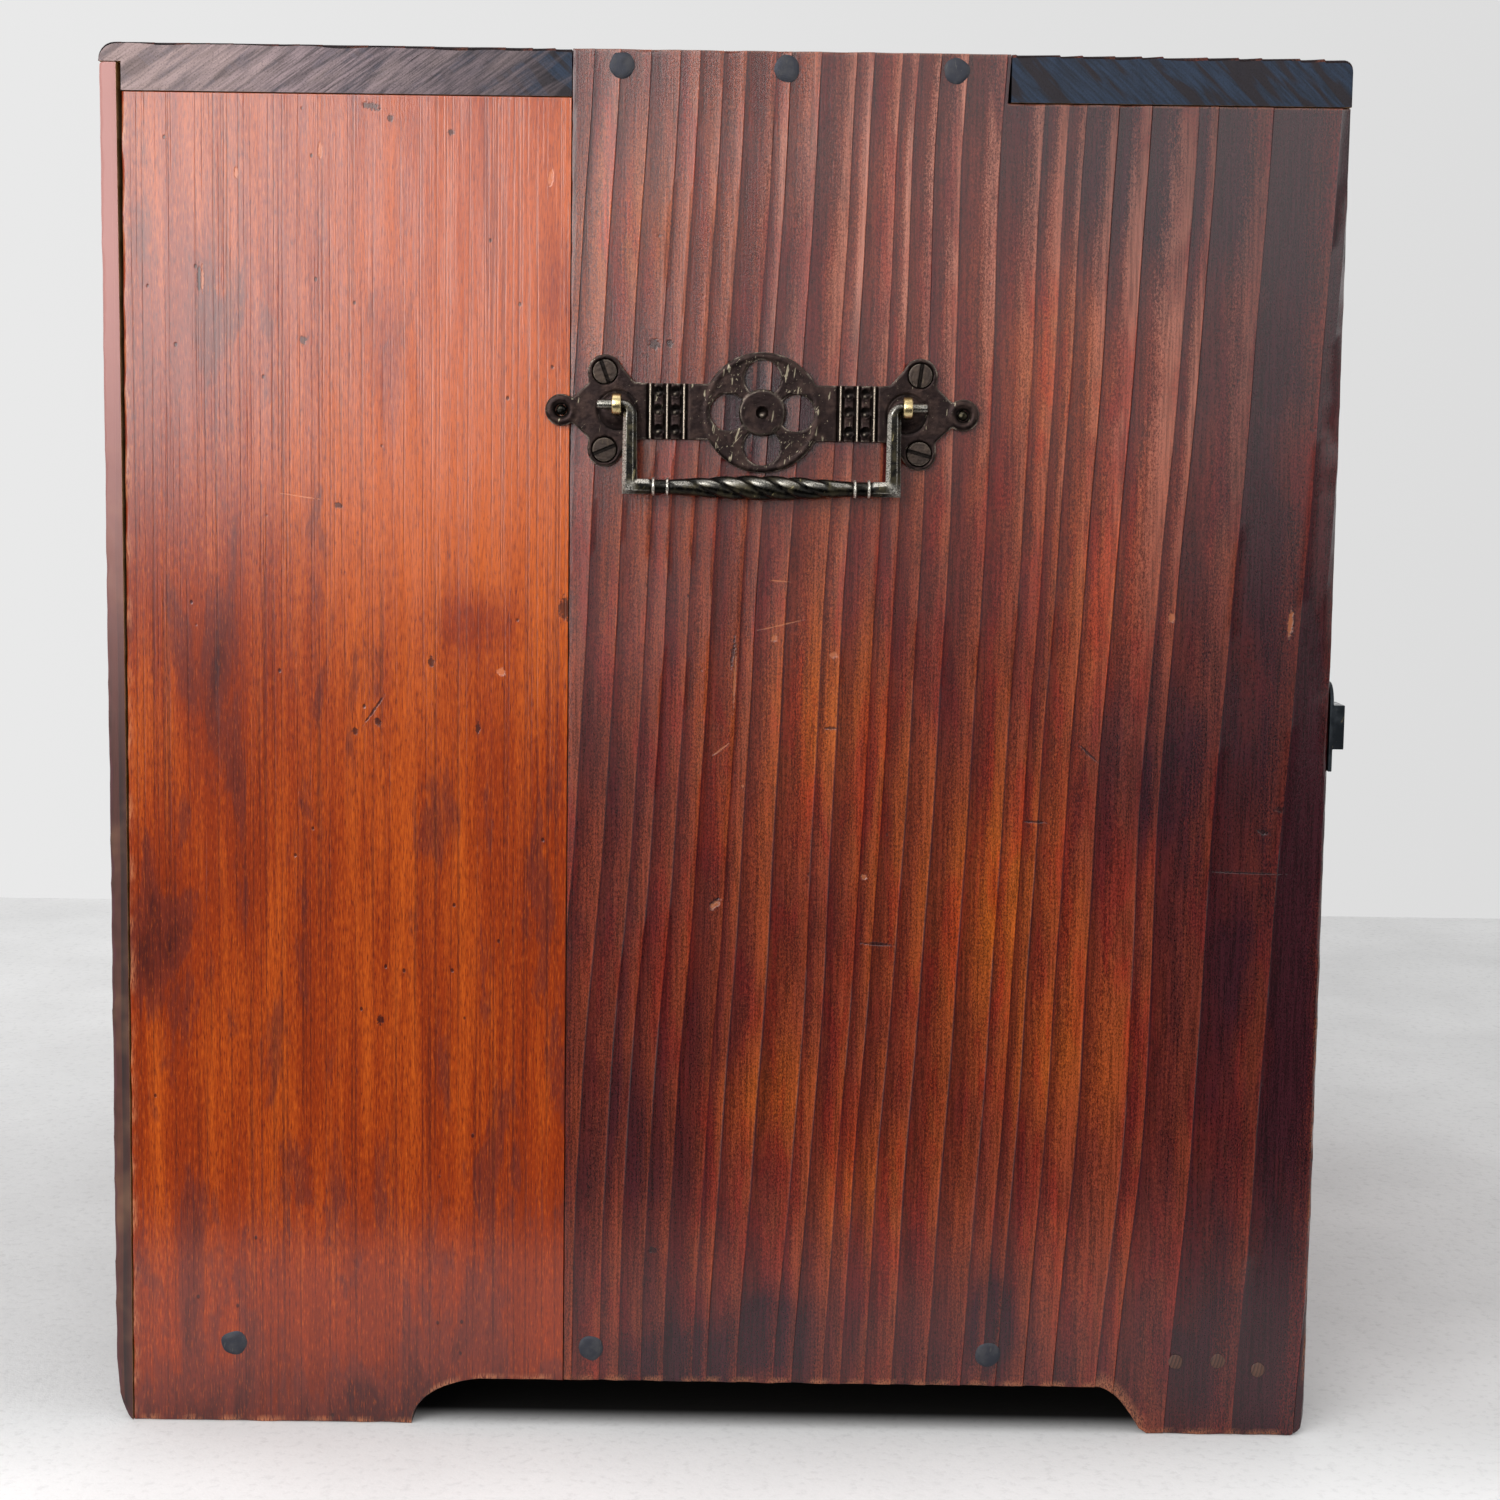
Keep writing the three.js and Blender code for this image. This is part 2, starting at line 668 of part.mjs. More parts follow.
function door() {
  const across = [doorLeft, doorRight];
  const through = [faceFront, faceFront + doorThickness];
  const lowJoint = doorFloor + doorBattenHeight;
  const highJoint = doorTop - doorBattenHeight;
  return [
    piece("door_panel", block(across, through, [lowJoint + seatGap, highJoint - seatGap]), frontWood),
    piece("door_lower_batten", block(across, through, [doorFloor, lowJoint]), frontWood),
    piece("door_upper_batten", block(across, through, [highJoint, doorTop]), frontWood),
  ];
}

// A hinge in a frame on its pin's axis at mid height; the wood's face lies behind the axis.
function hinge(name, height) {
  const wood = hingeKnuckleRadius + seatGap;
  const leaf = [hingeKnuckleRadius - hingeLeafThickness, hingeKnuckleRadius];
  const knuckleHalf = hingeNarrowHeight / 4;
  const narrow = hingeNarrowHeight / 2;
  const wide = hingeHeight / 2;
  const middle = [-knuckleHalf + seatGap / 2, knuckleHalf - seatGap / 2];
  const axis = [0, 0];
  const doorShape = outlineOf([
    [0, -narrow], [0, narrow], [-hingeDoorLeafLength, wide], [-hingeDoorLeafLength, -wide],
  ]);
  const postShape = outlineOf([
    [0, -narrow], [hingePostLeafLength, -wide], [hingePostLeafLength, wide], [0, narrow],
  ]);
  const allDepth = [-hingeKnuckleRadius - cutOverrun, wood];
  const clearLow = [-narrow - cutOverrun, -knuckleHalf + seatGap / 2];
  const clearHigh = [knuckleHalf - seatGap / 2, narrow + cutOverrun];
  const clearMiddle = [-knuckleHalf - seatGap / 2, knuckleHalf + seatGap / 2];
  const barrel = rod("z", hingeKnuckleRadius, middle, axis);
  const strap = profileAlongY(doorShape, leaf);
  const sweep = [-wood, wood];
  let doorLeaf = joined([strap, barrel]);
  doorLeaf = doorLeaf.subtract(block(sweep, allDepth, clearLow));
  doorLeaf = doorLeaf.subtract(block(sweep, allDepth, clearHigh));
  doorLeaf = doorLeaf.subtract(rod("z", hingePinRadius + seatGap, [-wide, wide], axis, smallSides));
  let postLeaf = profileAlongY(postShape, leaf);
  postLeaf = postLeaf.subtract(block(sweep, allDepth, clearMiddle));
  const low = rod("z", hingeKnuckleRadius, [-narrow, -knuckleHalf - seatGap / 2], axis);
  const high = rod("z", hingeKnuckleRadius, [knuckleHalf + seatGap / 2, narrow], axis);
  const pin = rod("z", hingePinRadius, [-narrow, narrow], axis, smallSides);
  postLeaf = joined([postLeaf, low, high, pin]);
  const place = [-postSide - doorRunGap / 2, faceFront - wood, height];
  return groupOf([
    piece(`${name}_hinge_door_leaf`, doorLeaf, iron),
    piece(`${name}_hinge_post_leaf`, postLeaf, iron),
  ], place);
}

// A housing over the bolt: a block with a channel along X.
function boltHousing([from, to], wall, [channelFrom, channelTo]) {
  const half = boltHeight / 2 + boltRunGap;
  const base = caseFront - seatGap - latchPlateThickness;
  const roof = caseFront - latchReach;
  const channel = [caseFront - boltFront - boltRunGap, base + cutOverrun];
  const outer = block([from, to], [roof, base], [-half - wall, half + wall]);
  return outer.subtract(block([channelFrom, channelTo], channel, [-half, half]));
}

// The keeper on the left side's front edge, which the bolt enters from the door.
function latchKeeper() {
  const left = -caseWidth / 2 + keeperMargin;
  const right = -innerSide - keeperMargin;
  const centre = (left + right) / 2;
  const round = (right - left) / 2;
  const low = -keeperHeight / 2;
  const shoulder = keeperHeight / 2 - round;
  const outline = new THREE.Shape();
  outline.moveTo(left, low);
  outline.lineTo(right, low);
  outline.lineTo(right, shoulder);
  outline.absarc(centre, shoulder, round, 0, Math.PI, false);
  outline.closePath();
  const face = caseFront - seatGap;
  const plate = profileAlongY(outline, [face - latchPlateThickness, face]);
  const closedEnd = right - boltThrow - boltRunGap;
  const box = boltHousing([left, right], keeperBoxWall, [closedEnd, right + cutOverrun]);
  return piece("latch_keeper", joined([plate, box]), iron);
}

// The guide on the door: a base plate with two straps over the bolt.
function latchGuide() {
  const left = doorLeft + guideMargin;
  const right = left + guideLength;
  const base = caseFront - seatGap - latchPlateThickness;
  const half = guideHeight / 2;
  const plate = block([left, right], [base, faceFront - seatGap], [-half, half]);
  const straps = [left, right - guideStrapWidth].map((from) => {
    const to = from + guideStrapWidth;
    return boltHousing([from, to], guideStrapWall, [from - cutOverrun, to + cutOverrun]);
  });
  return piece("latch_guide", joined([plate, ...straps]), iron);
}

// The bolt, drawn back so that the door is free; a thrown bolt stands in the keeper.
function latchBolt() {
  const tip = doorLeft + seatGap;
  const half = boltHeight / 2;
  const bar = block([tip, tip + boltLength], [caseFront - boltFront, caseFront - boltBack], [-half, half]);
  const knobAt = doorLeft + guideMargin + guideLength / 2 + boltThrow / 2;
  const knobDepth = [caseFront - knobReach, caseFront - boltFront + boltThickness / 2];
  const knob = rod("y", boltKnobRadius, knobDepth, [knobAt, 0]);
  return piece("latch_bolt", joined([bar, knob]), iron);
}

const chest = new THREE.Group();
chest.name = "ship_chest";
chest.add(...sides(), topBoard(), ...backBoards(), ...innerBoards(), ...door());
chest.add(hinge("upper", doorTop - hingeInset - hingeHeight / 2));
chest.add(hinge("lower", doorFloor + hingeInset + hingeHeight / 2));
chest.add(groupOf([latchKeeper(), latchGuide(), latchBolt()], [0, 0, latchHeight]));
chest.add(drawer("top_drawer", [-innerSide, innerSide], [upperShelfTop, topUnderside]));
chest.add(drawer("bottom_drawer", [-innerSide, innerSide], [bottomTop, lowerShelfUnderside]));
const smallBay = [postSide, innerSide];
chest.add(drawer("upper_small_drawer", smallBay, [latchHeight + railThickness / 2, middleCeiling]));
chest.add(drawer("lower_small_drawer", smallBay, [middleFloor, latchHeight - railThickness / 2]));
chest.add(...carryingHandles());

export default chest;
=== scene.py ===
"""Ship chest: the look of every piece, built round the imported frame.

Lengths are millimetres in the chest's own frame until a mesh is put in the scene: X runs across the front,
the front faces -Y, Z is up and the floor is zero. On a side, a place is given as its distance from the
side's rear edge and its height.
"""
import itertools
import logging
import math
from dataclasses import dataclass, field
from enum import Enum
from typing import Callable

import bmesh
import bpy
import numpy as np
from mathutils import Matrix, Vector


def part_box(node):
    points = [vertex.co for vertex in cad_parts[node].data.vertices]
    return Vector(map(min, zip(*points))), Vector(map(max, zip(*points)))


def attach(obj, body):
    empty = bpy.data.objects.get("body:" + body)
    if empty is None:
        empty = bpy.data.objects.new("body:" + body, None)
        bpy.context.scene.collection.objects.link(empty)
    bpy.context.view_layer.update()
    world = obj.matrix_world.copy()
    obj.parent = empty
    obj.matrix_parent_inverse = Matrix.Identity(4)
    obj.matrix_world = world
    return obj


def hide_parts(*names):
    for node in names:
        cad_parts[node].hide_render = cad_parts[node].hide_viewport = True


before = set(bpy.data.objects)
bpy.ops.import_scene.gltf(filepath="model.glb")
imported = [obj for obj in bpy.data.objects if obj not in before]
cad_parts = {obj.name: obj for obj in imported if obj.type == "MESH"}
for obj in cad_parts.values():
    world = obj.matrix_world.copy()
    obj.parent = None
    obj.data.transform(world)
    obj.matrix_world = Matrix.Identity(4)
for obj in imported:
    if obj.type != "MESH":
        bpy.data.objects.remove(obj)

log = logging.getLogger("ship_chest")
Array = np.ndarray
Socket = bpy.types.NodeSocket
Material = bpy.types.Material
Triple = tuple[float, float, float]
Place = Callable[[Array], Array]
Seat = Callable[[Array, Array, Array], Array]

MM = 0.001
WELD = 0.004
SHARP_ANGLE = math.radians(38)
BLOCK_EDGE = 0.6
NICK_SPACING = 9
SCAR_DEPTH = 60.0
INPUTS = {
    "metallic": "Metallic", "specular": "Specular IOR Level", "coat": "Coat Weight",
    "coat_roughness": "Coat Roughness", "glow": "Emission Color", "glow_strength": "Emission Strength",
}


class Axis(Enum):
    """The direction that a board's grain runs in."""

    X = 0
    Y = 1
    Z = 2


def box_of(node: str) -> tuple[Array, Array]:
    """Lowest and highest corner of a CAD node, in millimetres."""
    low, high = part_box(node)
    return np.array(low) / MM, np.array(high) / MM


def paint(code: str) -> tuple[float, float, float, float]:
    """A colour written as six hexadecimal digits, as linear light."""
    values = [int(code[i:i + 2], 16) / 255 for i in (0, 2, 4)]
    light = [v / 12.92 if v <= 0.04045 else ((v + 0.055) / 1.055) ** 2.4 for v in values]
    return (light[0], light[1], light[2], 1.0)


def scaled(lengths: Triple) -> list[float]:
    """Three millimetre lengths in metres."""
    return [length * MM for length in lengths]


def put_in_scene(name: str, data: bpy.types.ID) -> bpy.types.Object:
    """A new object at the origin of the scene."""
    made = bpy.data.objects.new(name, data)
    bpy.context.scene.collection.objects.link(made)
    return made


def smooth_with_edges(mesh: bpy.types.Mesh) -> None:
    """Shades a mesh smooth but for its sharp edges."""
    mesh.shade_smooth()
    mesh.set_sharp_from_angle(angle=SHARP_ANGLE)


def lines(*parts: Array) -> Array:
    """Grid lines from several lists, in order and once each."""
    return np.unique(np.concatenate(parts))


def even(low: float, high: float, count: int, *more: Array) -> Array:
    """Evenly spaced grid lines, and more."""
    return lines(np.linspace(low, high, count), *more)


def ripple(a: Array, b: Array, size: float, seed: int) -> Array:
    """A smooth uneven field between about -1 and 1: the mean of eight sine waves in seeded directions.

    Args:
        a: First coordinate of each point.
        b: Second coordinate of each point.
        size: Typical distance between crests.
        seed: Seed of the directions, lengths and phases.

    Returns:
        The field at each point.
    """
    rng = np.random.default_rng(seed)
    total = np.zeros(np.broadcast(a, b).shape)
    for _ in range(8):
        angle, phase = rng.uniform(0, 2 * math.pi, 2)
        wave = 2 * math.pi / (size * rng.uniform(0.6, 1.6))
        total += np.sin(wave * (a * math.cos(angle) + b * math.sin(angle)) + phase)
    return total / 4


def eased(distance: Array, radius: float | Array) -> Array:
    """How far a rounded edge falls back, a quarter circle: r - sqrt(r^2 - (r - d)^2) within r of the edge."""
    inside = np.clip(radius - distance, 0, radius)
    return radius - np.sqrt(np.maximum(radius ** 2 - inside ** 2, 0))


def smooth_step(value: Array, low: float, high: float) -> Array:
    """0 before low, 1 past high and 3t^2 - 2t^3 between them; it falls where low is the larger."""
    t = np.clip((value - low) / (high - low), 0, 1)
    return t * t * (3 - 2 * t)


def peak(value: Array, middle: float, width: float, power: int = 2) -> Array:
    """exp(-((value - middle) / width)^power)."""
    return np.exp(-((value - middle) / width) ** power)


@dataclass
class Shape:
    """Points and faces on their way to a mesh.

    Attributes:
        points: One row of X, Y, Z for each point.
        faces: One row of four point numbers for each face; a triangle has -1 last.
        kinds: Which of the piece's finishes each face takes.
        marks: Named values at the points, which become attributes.
    """

    points: Array
    faces: Array
    kinds: Array
    marks: dict[str, Array] = field(default_factory=dict)

    @staticmethod
    def grid(points: Array, marks: dict[str, Array] | None = None) -> "Shape":
        """A surface of rows and columns; its columns close on the first, and equal points become one."""
        rows, columns = points.shape[:2]
        index = np.arange(rows * columns).reshape(rows, columns)
        index = np.column_stack([index, index[:, :1]])
        corners = [index[:-1, :-1], index[:-1, 1:], index[1:, 1:], index[1:, :-1]]
        faces = np.stack(corners, -1).reshape(-1, 4)
        flat = {name: values.reshape(-1) for name, values in (marks or {}).items()}
        return Shape(points.reshape(-1, 3), faces, np.zeros(len(faces), int), flat).welded()

    def welded(self) -> "Shape":
        """The same shape with equal points made one and faces without area left out."""
        keys = np.round(self.points / WELD).astype(np.int64)
        _, first, back = np.unique(keys, axis=0, return_index=True, return_inverse=True)
        faces, kinds = cleaned(back.reshape(-1)[self.faces], self.kinds)
        marks = {name: values[first] for name, values in self.marks.items()}
        return Shape(self.points[first], faces, kinds, marks)

    def joined(self, *others: "Shape") -> "Shape":
        """This shape and the others as one, each still closed by itself."""
        shapes = [self, *others]
        starts = np.cumsum([0] + [len(s.points) for s in shapes])
        faces = [np.where(s.faces < 0, -1, s.faces + start) for s, start in zip(shapes, starts)]
        names = sorted({name for s in shapes for name in s.marks})
        marks = {name: np.concatenate([s.marks.get(name, np.zeros(len(s.points))) for s in shapes])
                 for name in names}
        return Shape(
            np.concatenate([s.points for s in shapes]),
            np.concatenate(faces),
            np.concatenate([s.kinds for s in shapes]),
            marks,
        )

    def placed(self, place: Place) -> "Shape":
        """The shape with every point moved by a function."""
        return Shape(place(self.points), self.faces, self.kinds, self.marks)

    def normals(self) -> Array:
        """The unit normal of each face, from its diagonals."""
        corner = self.points[np.where(self.faces < 0, self.faces[:, :1], self.faces)]
        cross = np.cross(corner[:, 2] - corner[:, 0], corner[:, 3] - corner[:, 1])
        return cross / np.maximum(np.linalg.norm(cross, axis=1, keepdims=True), 1e-12)

    def facing_out(self) -> "Shape":
        """The shape with its faces turned outwards, judged by the sign of its volume."""
        corner = self.points[np.where(self.faces < 0, self.faces[:, :1], self.faces)]
        first = np.einsum("ij,ij->i", corner[:, 0], np.cross(corner[:, 1], corner[:, 2]))
        second = np.einsum("ij,ij->i", corner[:, 0], np.cross(corner[:, 2], corner[:, 3]))
        if (first + second).sum() >= 0:
            return self
        flipped = self.faces[:, ::-1].copy()
        triangle = flipped[:, 0] < 0
        flipped[triangle] = np.roll(flipped[triangle], -1, axis=1)
        return Shape(self.points, flipped, self.kinds, self.marks)


def cleaned(faces: Array, kinds: Array) -> tuple[Array, Array]:
    """Faces whose corners have run together, as triangles or left out.

    Args:
        faces: Four point numbers a face, without -1.
        kinds: The kind of each face.

    Returns:
        The faces that are left and their kinds.
    """
    following = np.roll(faces, -1, axis=1)
    same = faces == following
    crossed = (faces[:, 0] == faces[:, 2]) | (faces[:, 1] == faces[:, 3])
    good = (same.sum(1) <= 1) & ~crossed
    faces, kinds, same = faces[good], kinds[good], same[good]
    for corner in range(4):
        pick = same[:, corner]
        faces[pick] = np.roll(faces[pick], -(corner + 1), axis=1)
    faces[same.any(1), 3] = -1
    return faces, kinds


@dataclass(frozen=True)
class Piece:
    """Where a finished shape belongs: its name, its body, its finish slot, which nothing here reads, and the
    CAD nodes it stands for.
    """

    name: str
    body: str
    slot: str
    replaces: tuple[str, ...] = ()

    def make(self, shape: Shape, *finishes: Material) -> None:
        """Puts a shape in the scene as this piece.

        Args:
            shape: The closed shape, in millimetres.
            finishes: Materials, in the order of the shape's kinds.
        """
        shape = shape.facing_out()
        mesh = bpy.data.meshes.new(self.name)
        triangle = shape.faces[:, 3] < 0
        order = np.concatenate([np.flatnonzero(~triangle), np.flatnonzero(triangle)])
        faces = shape.faces[~triangle].tolist() + shape.faces[triangle][:, :3].tolist()
        mesh.from_pydata((shape.points * MM).tolist(), [], faces)
        for finish in finishes:
            mesh.materials.append(finish)
        mesh.polygons.foreach_set("material_index", shape.kinds[order].astype(np.int32))
        for name, values in shape.marks.items():
            mark = mesh.attributes.new(name, "FLOAT", "POINT")
            mark.data.foreach_set("value", values.astype(np.float32))
        smooth_with_edges(mesh)
        made = put_in_scene(self.name, mesh)
        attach(made, self.body)
        if self.replaces:
            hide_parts(*self.replaces)
        log.info("%s: %d faces on %s", self.name, len(faces), self.body)


def slab(a: Array, b: Array, outer: Array, inner: Array, place: Seat, keep: Array | None = None,
         marks: dict[str, Array] | None = None) -> Shape:
    """A sheet with thickness: two grids over the same places, joined round every edge that only one cell has.

    Args:
        a: First in-plane coordinate, rows by columns.
        b: Second in-plane coordinate.
        outer: Depth of the outer face at each place.
        inner: Depth of the inner face.
        place: Turns in-plane coordinates and a depth into X, Y, Z.
        keep: Which cells there are, or all of them.
        marks: Values at the grid's places.

    Returns:
        The closed shape: kind 0 outside, 1 inside and 2 round the rim.
    """
    keys = np.round(np.stack([a.ravel(), b.ravel()], 1) / WELD).astype(np.int64)
    _, first, back = np.unique(keys, axis=0, return_index=True, return_inverse=True)
    index = back.reshape(a.shape)
    corners = [index[:-1, :-1], index[:-1, 1:], index[1:, 1:], index[1:, :-1]]
    cells = np.stack(corners, -1)
    cells = cells.reshape(-1, 4) if keep is None else cells[keep]
    cells, kinds = cleaned(cells, np.zeros(len(cells), int))
    used, renumbered = np.unique(cells[cells >= 0], return_inverse=True)
    numbered = cells.copy()
    numbered[cells >= 0] = renumbered
    cells = numbered
    first = first[used]
    count = len(first)
    quads = np.where(cells < 0, cells[:, :1], cells)
    starts, ends = quads.ravel(), np.roll(quads, -1, axis=1).ravel()
    real = starts != ends
    starts, ends = starts[real], ends[real]
    lonely = ~np.isin(starts * count + ends, ends * count + starts)
    starts, ends = starts[lonely], ends[lonely]
    rim = np.stack([ends, starts, starts + count, ends + count], 1)
    under = cells[:, ::-1].copy()
    triangle = under[:, 0] < 0
    under[triangle] = np.roll(under[triangle], -1, axis=1)
    under = np.where(under < 0, -1, under + count)
    at, bt = a.ravel()[first], b.ravel()[first]
    points = np.concatenate([place(at, bt, outer.ravel()[first]), place(at, bt, inner.ravel()[first])])
    kinds = np.concatenate([kinds, kinds + 1, np.full(len(rim), 2)])
    doubled = {name: np.tile(values.ravel()[first], 2) for name, values in (marks or {}).items()}
    return Shape(points, np.concatenate([cells, under, rim]), kinds, doubled)


def rounded_block(low: Array, high: Array, radius: float, steps: int = 3) -> Shape:
    """A block with rounded edges: a sphere's points pushed apart by their signs, r n + sign(n) (h - r)."""
    quarter = np.linspace(0, math.pi / 2, steps)
    height = np.concatenate([quarter - math.pi / 2, quarter])
    above = np.repeat([-1.0, 1.0], steps)
    turn = np.concatenate([quarter + q * math.pi / 2 for q in range(4)])
    side = np.repeat([[1.0, 1.0], [-1.0, 1.0], [-1.0, -1.0], [1.0, -1.0]], steps, axis=0)
    half = (np.array(high) - np.array(low)) / 2 - radius
    points = np.empty((len(height), len(turn), 3))
    ring = np.cos(height)[:, None]
    points[..., 0] = radius * ring * np.cos(turn) + side[:, 0] * half[0]
    points[..., 1] = radius * ring * np.sin(turn) + side[:, 1] * half[1]
    points[..., 2] = (radius * np.sin(height) + above * half[2])[:, None]
    ends = [np.broadcast_to(points[i].mean(0), points[i].shape)[None] for i in (0, -1)]
    closed = np.concatenate([ends[0], points, ends[1]])
    return Shape.grid(closed + (np.array(high) + np.array(low)) / 2)


def turned(profile: list[tuple[float, float]], sides: int = 32) -> Shape:
    """A profile of radius and height turned round the Z axis; it starts and ends on the axis."""
    radius, height = np.array(profile).T[:, :, None]
    angle = np.linspace(0, 2 * math.pi, sides, endpoint=False)
    points = np.stack([radius * np.cos(angle), radius * np.sin(angle), height + 0 * angle], -1)
    return Shape.grid(points)


class Signal:
    """A value or colour in a graph of nodes, with which sums are written as with numbers."""

    def __init__(self, bench: "Bench", socket: Socket) -> None:
        """Holds a socket of the bench's graph."""
        self.bench, self.socket = bench, socket

    def __add__(self, other: object) -> "Signal":
        """The sum with a signal or a number."""
        return self.bench.math("ADD", self, other)

    def __sub__(self, other: object) -> "Signal":
        """The difference from a signal or a number."""
        return self.bench.math("SUBTRACT", self, other)

    def __rsub__(self, other: object) -> "Signal":
        """A number less this signal."""
        return self.bench.math("SUBTRACT", other, self)

    def __mul__(self, other: object) -> "Signal":
        """The product with a signal or a number."""
        return self.bench.math("MULTIPLY", self, other)

    __radd__, __rmul__ = __add__, __mul__

    def clamped(self) -> "Signal":
        """The same sum, kept from 0 to 1."""
        self.socket.node.use_clamp = True
        return self


class Bench:
    """The graph of a new material or world, with short calls for the nodes used here."""

    def __init__(self, owner: Material | bpy.types.World, grain: Axis = Axis.Z) -> None:
        """Empties the owner's graph; streaks run along the grain."""
        owner.use_nodes = True
        self.owner, self.grain, self.tree = owner, grain, owner.node_tree
        self.tree.nodes.clear()

    def add(self, kind: str, **settings: object) -> bpy.types.Node:
        """A new node with its settings."""
        node = self.tree.nodes.new(kind)
        for name, value in settings.items():
            setattr(node, name, value)
        return node

    def put(self, socket: Socket, value: object) -> None:
        """Links a socket to a signal, or sets its value."""
        if isinstance(value, Signal):
            self.tree.links.new(value.socket, socket)
        else:
            socket.default_value = value

    def fed(self, kind: str, values: dict[int | str, object], output: int | str = 0,
            **settings: object) -> Signal:
        """What a new node gives for the values put into its inputs."""
        node = self.add(kind, **settings)
        for key, value in values.items():
            self.put(node.inputs[key], value)
        return Signal(self, node.outputs[output])

    def math(self, operation: str, a: object, b: object = 0.0) -> Signal:
        """A sum of two values."""
        return self.fed("ShaderNodeMath", {0: a, 1: b}, operation=operation)

    def mix(self, share: object, a: object, b: object, blend: str = "MIX") -> Signal:
        """A colour between two, or one blended over the other."""
        return self.fed("ShaderNodeMix", {0: share, 6: a, 7: b}, 2, data_type="RGBA", blend_type=blend)

    def coated(self, colour: object, *coats: tuple[object, str]) -> Signal:
        """A colour with paints laid over it in turn, each by its own share."""
        for share, code in coats:
            colour = self.mix(share, colour, paint(code))
        return colour

    def span(self, value: object, low: float, high: float, to_low: float = 0.0, to_high: float = 1.0,
             kind: str = "SMOOTHSTEP") -> Signal:
        """A value taken smoothly from one span to another."""
        values = dict(enumerate((value, low, high, to_low, to_high)))
        return self.fed("ShaderNodeMapRange", values, interpolation_type=kind)

    def ramp(self, value: Signal, stops: dict[float, str]) -> Signal:
        """A colour picked from stops along a value."""
        node = self.add("ShaderNodeValToRGB")
        points = node.color_ramp.elements
        while len(points) < len(stops):
            points.new(0.5)
        for point, (at, code) in zip(points, sorted(stops.items())):
            point.position, point.color = at, paint(code)
        self.put(node.inputs[0], value)
        return Signal(self, node.outputs[0])

    def place(self, sizes: Triple, turn: Triple = (0, 0, 0), at: Triple = (0, 0, 0)) -> Signal:
        """Object coordinates seen from a place, turned and then divided by sizes, all in millimetres."""
        values = {"Vector": self.coordinates("Object"), "Location": scaled(at), "Rotation": turn,
                  "Scale": scaled(sizes)}
        return self.fed("ShaderNodeMapping", values, vector_type="TEXTURE")

    def coordinates(self, kind: str) -> Signal:
        """One of Blender's kinds of texture coordinates."""
        return self.fed("ShaderNodeTexCoord", {}, kind)

    def parts(self, vector: Signal) -> list[Signal]:
        """The three values of a vector."""
        node = self.add("ShaderNodeSeparateXYZ")
        self.put(node.inputs[0], vector)
        return [Signal(self, socket) for socket in node.outputs]

    def vector(self, value: Signal) -> Signal:
        """A value as all three of a vector or colour."""
        return self.fed("ShaderNodeCombineXYZ", {0: value, 1: value, 2: value})

    def noise(self, sizes: Triple, detail: float = 2.0, roughness: float = 0.5, distortion: float = 0.0,
              turn: Triple = (0, 0, 0)) -> Signal:
        """Noise whose pattern measures these millimetres along the turned axes."""
        values = {"Vector": self.place(sizes, turn), "Scale": 1.0, "Detail": detail, "Roughness": roughness,
                  "Distortion": distortion}
        return self.fed("ShaderNodeTexNoise", values)

    def streaks(self, across: float, length: float, *settings: float) -> Signal:
        """Noise drawn out along the grain."""
        return self.noise(along(self.grain, across, length), *settings)

    def spot(self, at: Triple, sizes: Triple, turn: float, ragged: Signal) -> Signal:
        """1 inside an ellipsoid turned about X and 0 outside it, its edge moved by a ragged value."""
        where = self.place(sizes, (turn, 0, 0), at)
        reach = self.fed("ShaderNodeVectorMath", {0: where}, "Value", operation="LENGTH")
        return self.span(reach + ragged, 0.6, 1.05, 1.0, 0.0)

    def nicks(self, length: float, reach: float, share: float) -> Signal:
        """Small scattered nicks: the middles of random cells, kept in this share of them."""
        node = self.add("ShaderNodeTexVoronoi")
        self.put(node.inputs["Vector"], self.place(along(self.grain, NICK_SPACING, length)))
        self.put(node.inputs["Scale"], 1.0)
        chance = self.fed("ShaderNodeSeparateColor", {0: Signal(self, node.outputs["Color"])})
        distance = Signal(self, node.outputs["Distance"])
        chosen = self.span(chance, share, share + 0.02, 1.0, 0.0)
        return self.span(distance, reach * 0.5, reach, 1.0, 0.0) * chosen

    def mark(self, name: str) -> Signal:
        """A value stored at the mesh's points."""
        return self.fed("ShaderNodeAttribute", {}, "Fac", attribute_name=name)

    def seen(self) -> Signal:
        """1 for what the camera sees, mirrored or through glass too, and 0 for what lights other things."""
        path = self.add("ShaderNodeLightPath")
        rays = ("Is Camera Ray", "Is Glossy Ray", "Is Transmission Ray")
        camera, glossy, through = (Signal(self, path.outputs[name]) for name in rays)
        return self.math("MAXIMUM", self.math("MAXIMUM", camera, glossy), through)

    def finish(self, colour: object, roughness: object, height: Signal | None = None, depth: float = 0.1,
               strength: float = 0.5, **settings: object) -> Material:
        """Joins colour, roughness and bump to a new shader.

        Args:
            colour: Base colour.
            roughness: Roughness.
            height: What the bump follows, from 0 to 1.
            depth: Height of the bump in millimetres.
            strength: Strength of the bump.
            settings: The shader's other inputs, in small letters and with low lines for spaces.

        Returns:
            The material.
        """
        values = {"Base Color": colour, "Roughness": roughness, "Coat Roughness": 0.2}
        values |= {INPUTS[name]: value for name, value in settings.items()}
        if height is not None:
            bumped = {"Strength": strength, "Distance": depth * MM, "Height": height}
            values["Normal"] = self.fed("ShaderNodeBump", bumped)
            if "coat" in settings:
                values["Coat Normal"] = values["Normal"]
        shader = self.fed("ShaderNodeBsdfPrincipled", values)
        self.put(self.add("ShaderNodeOutputMaterial").inputs[0], shader)
        return self.owner


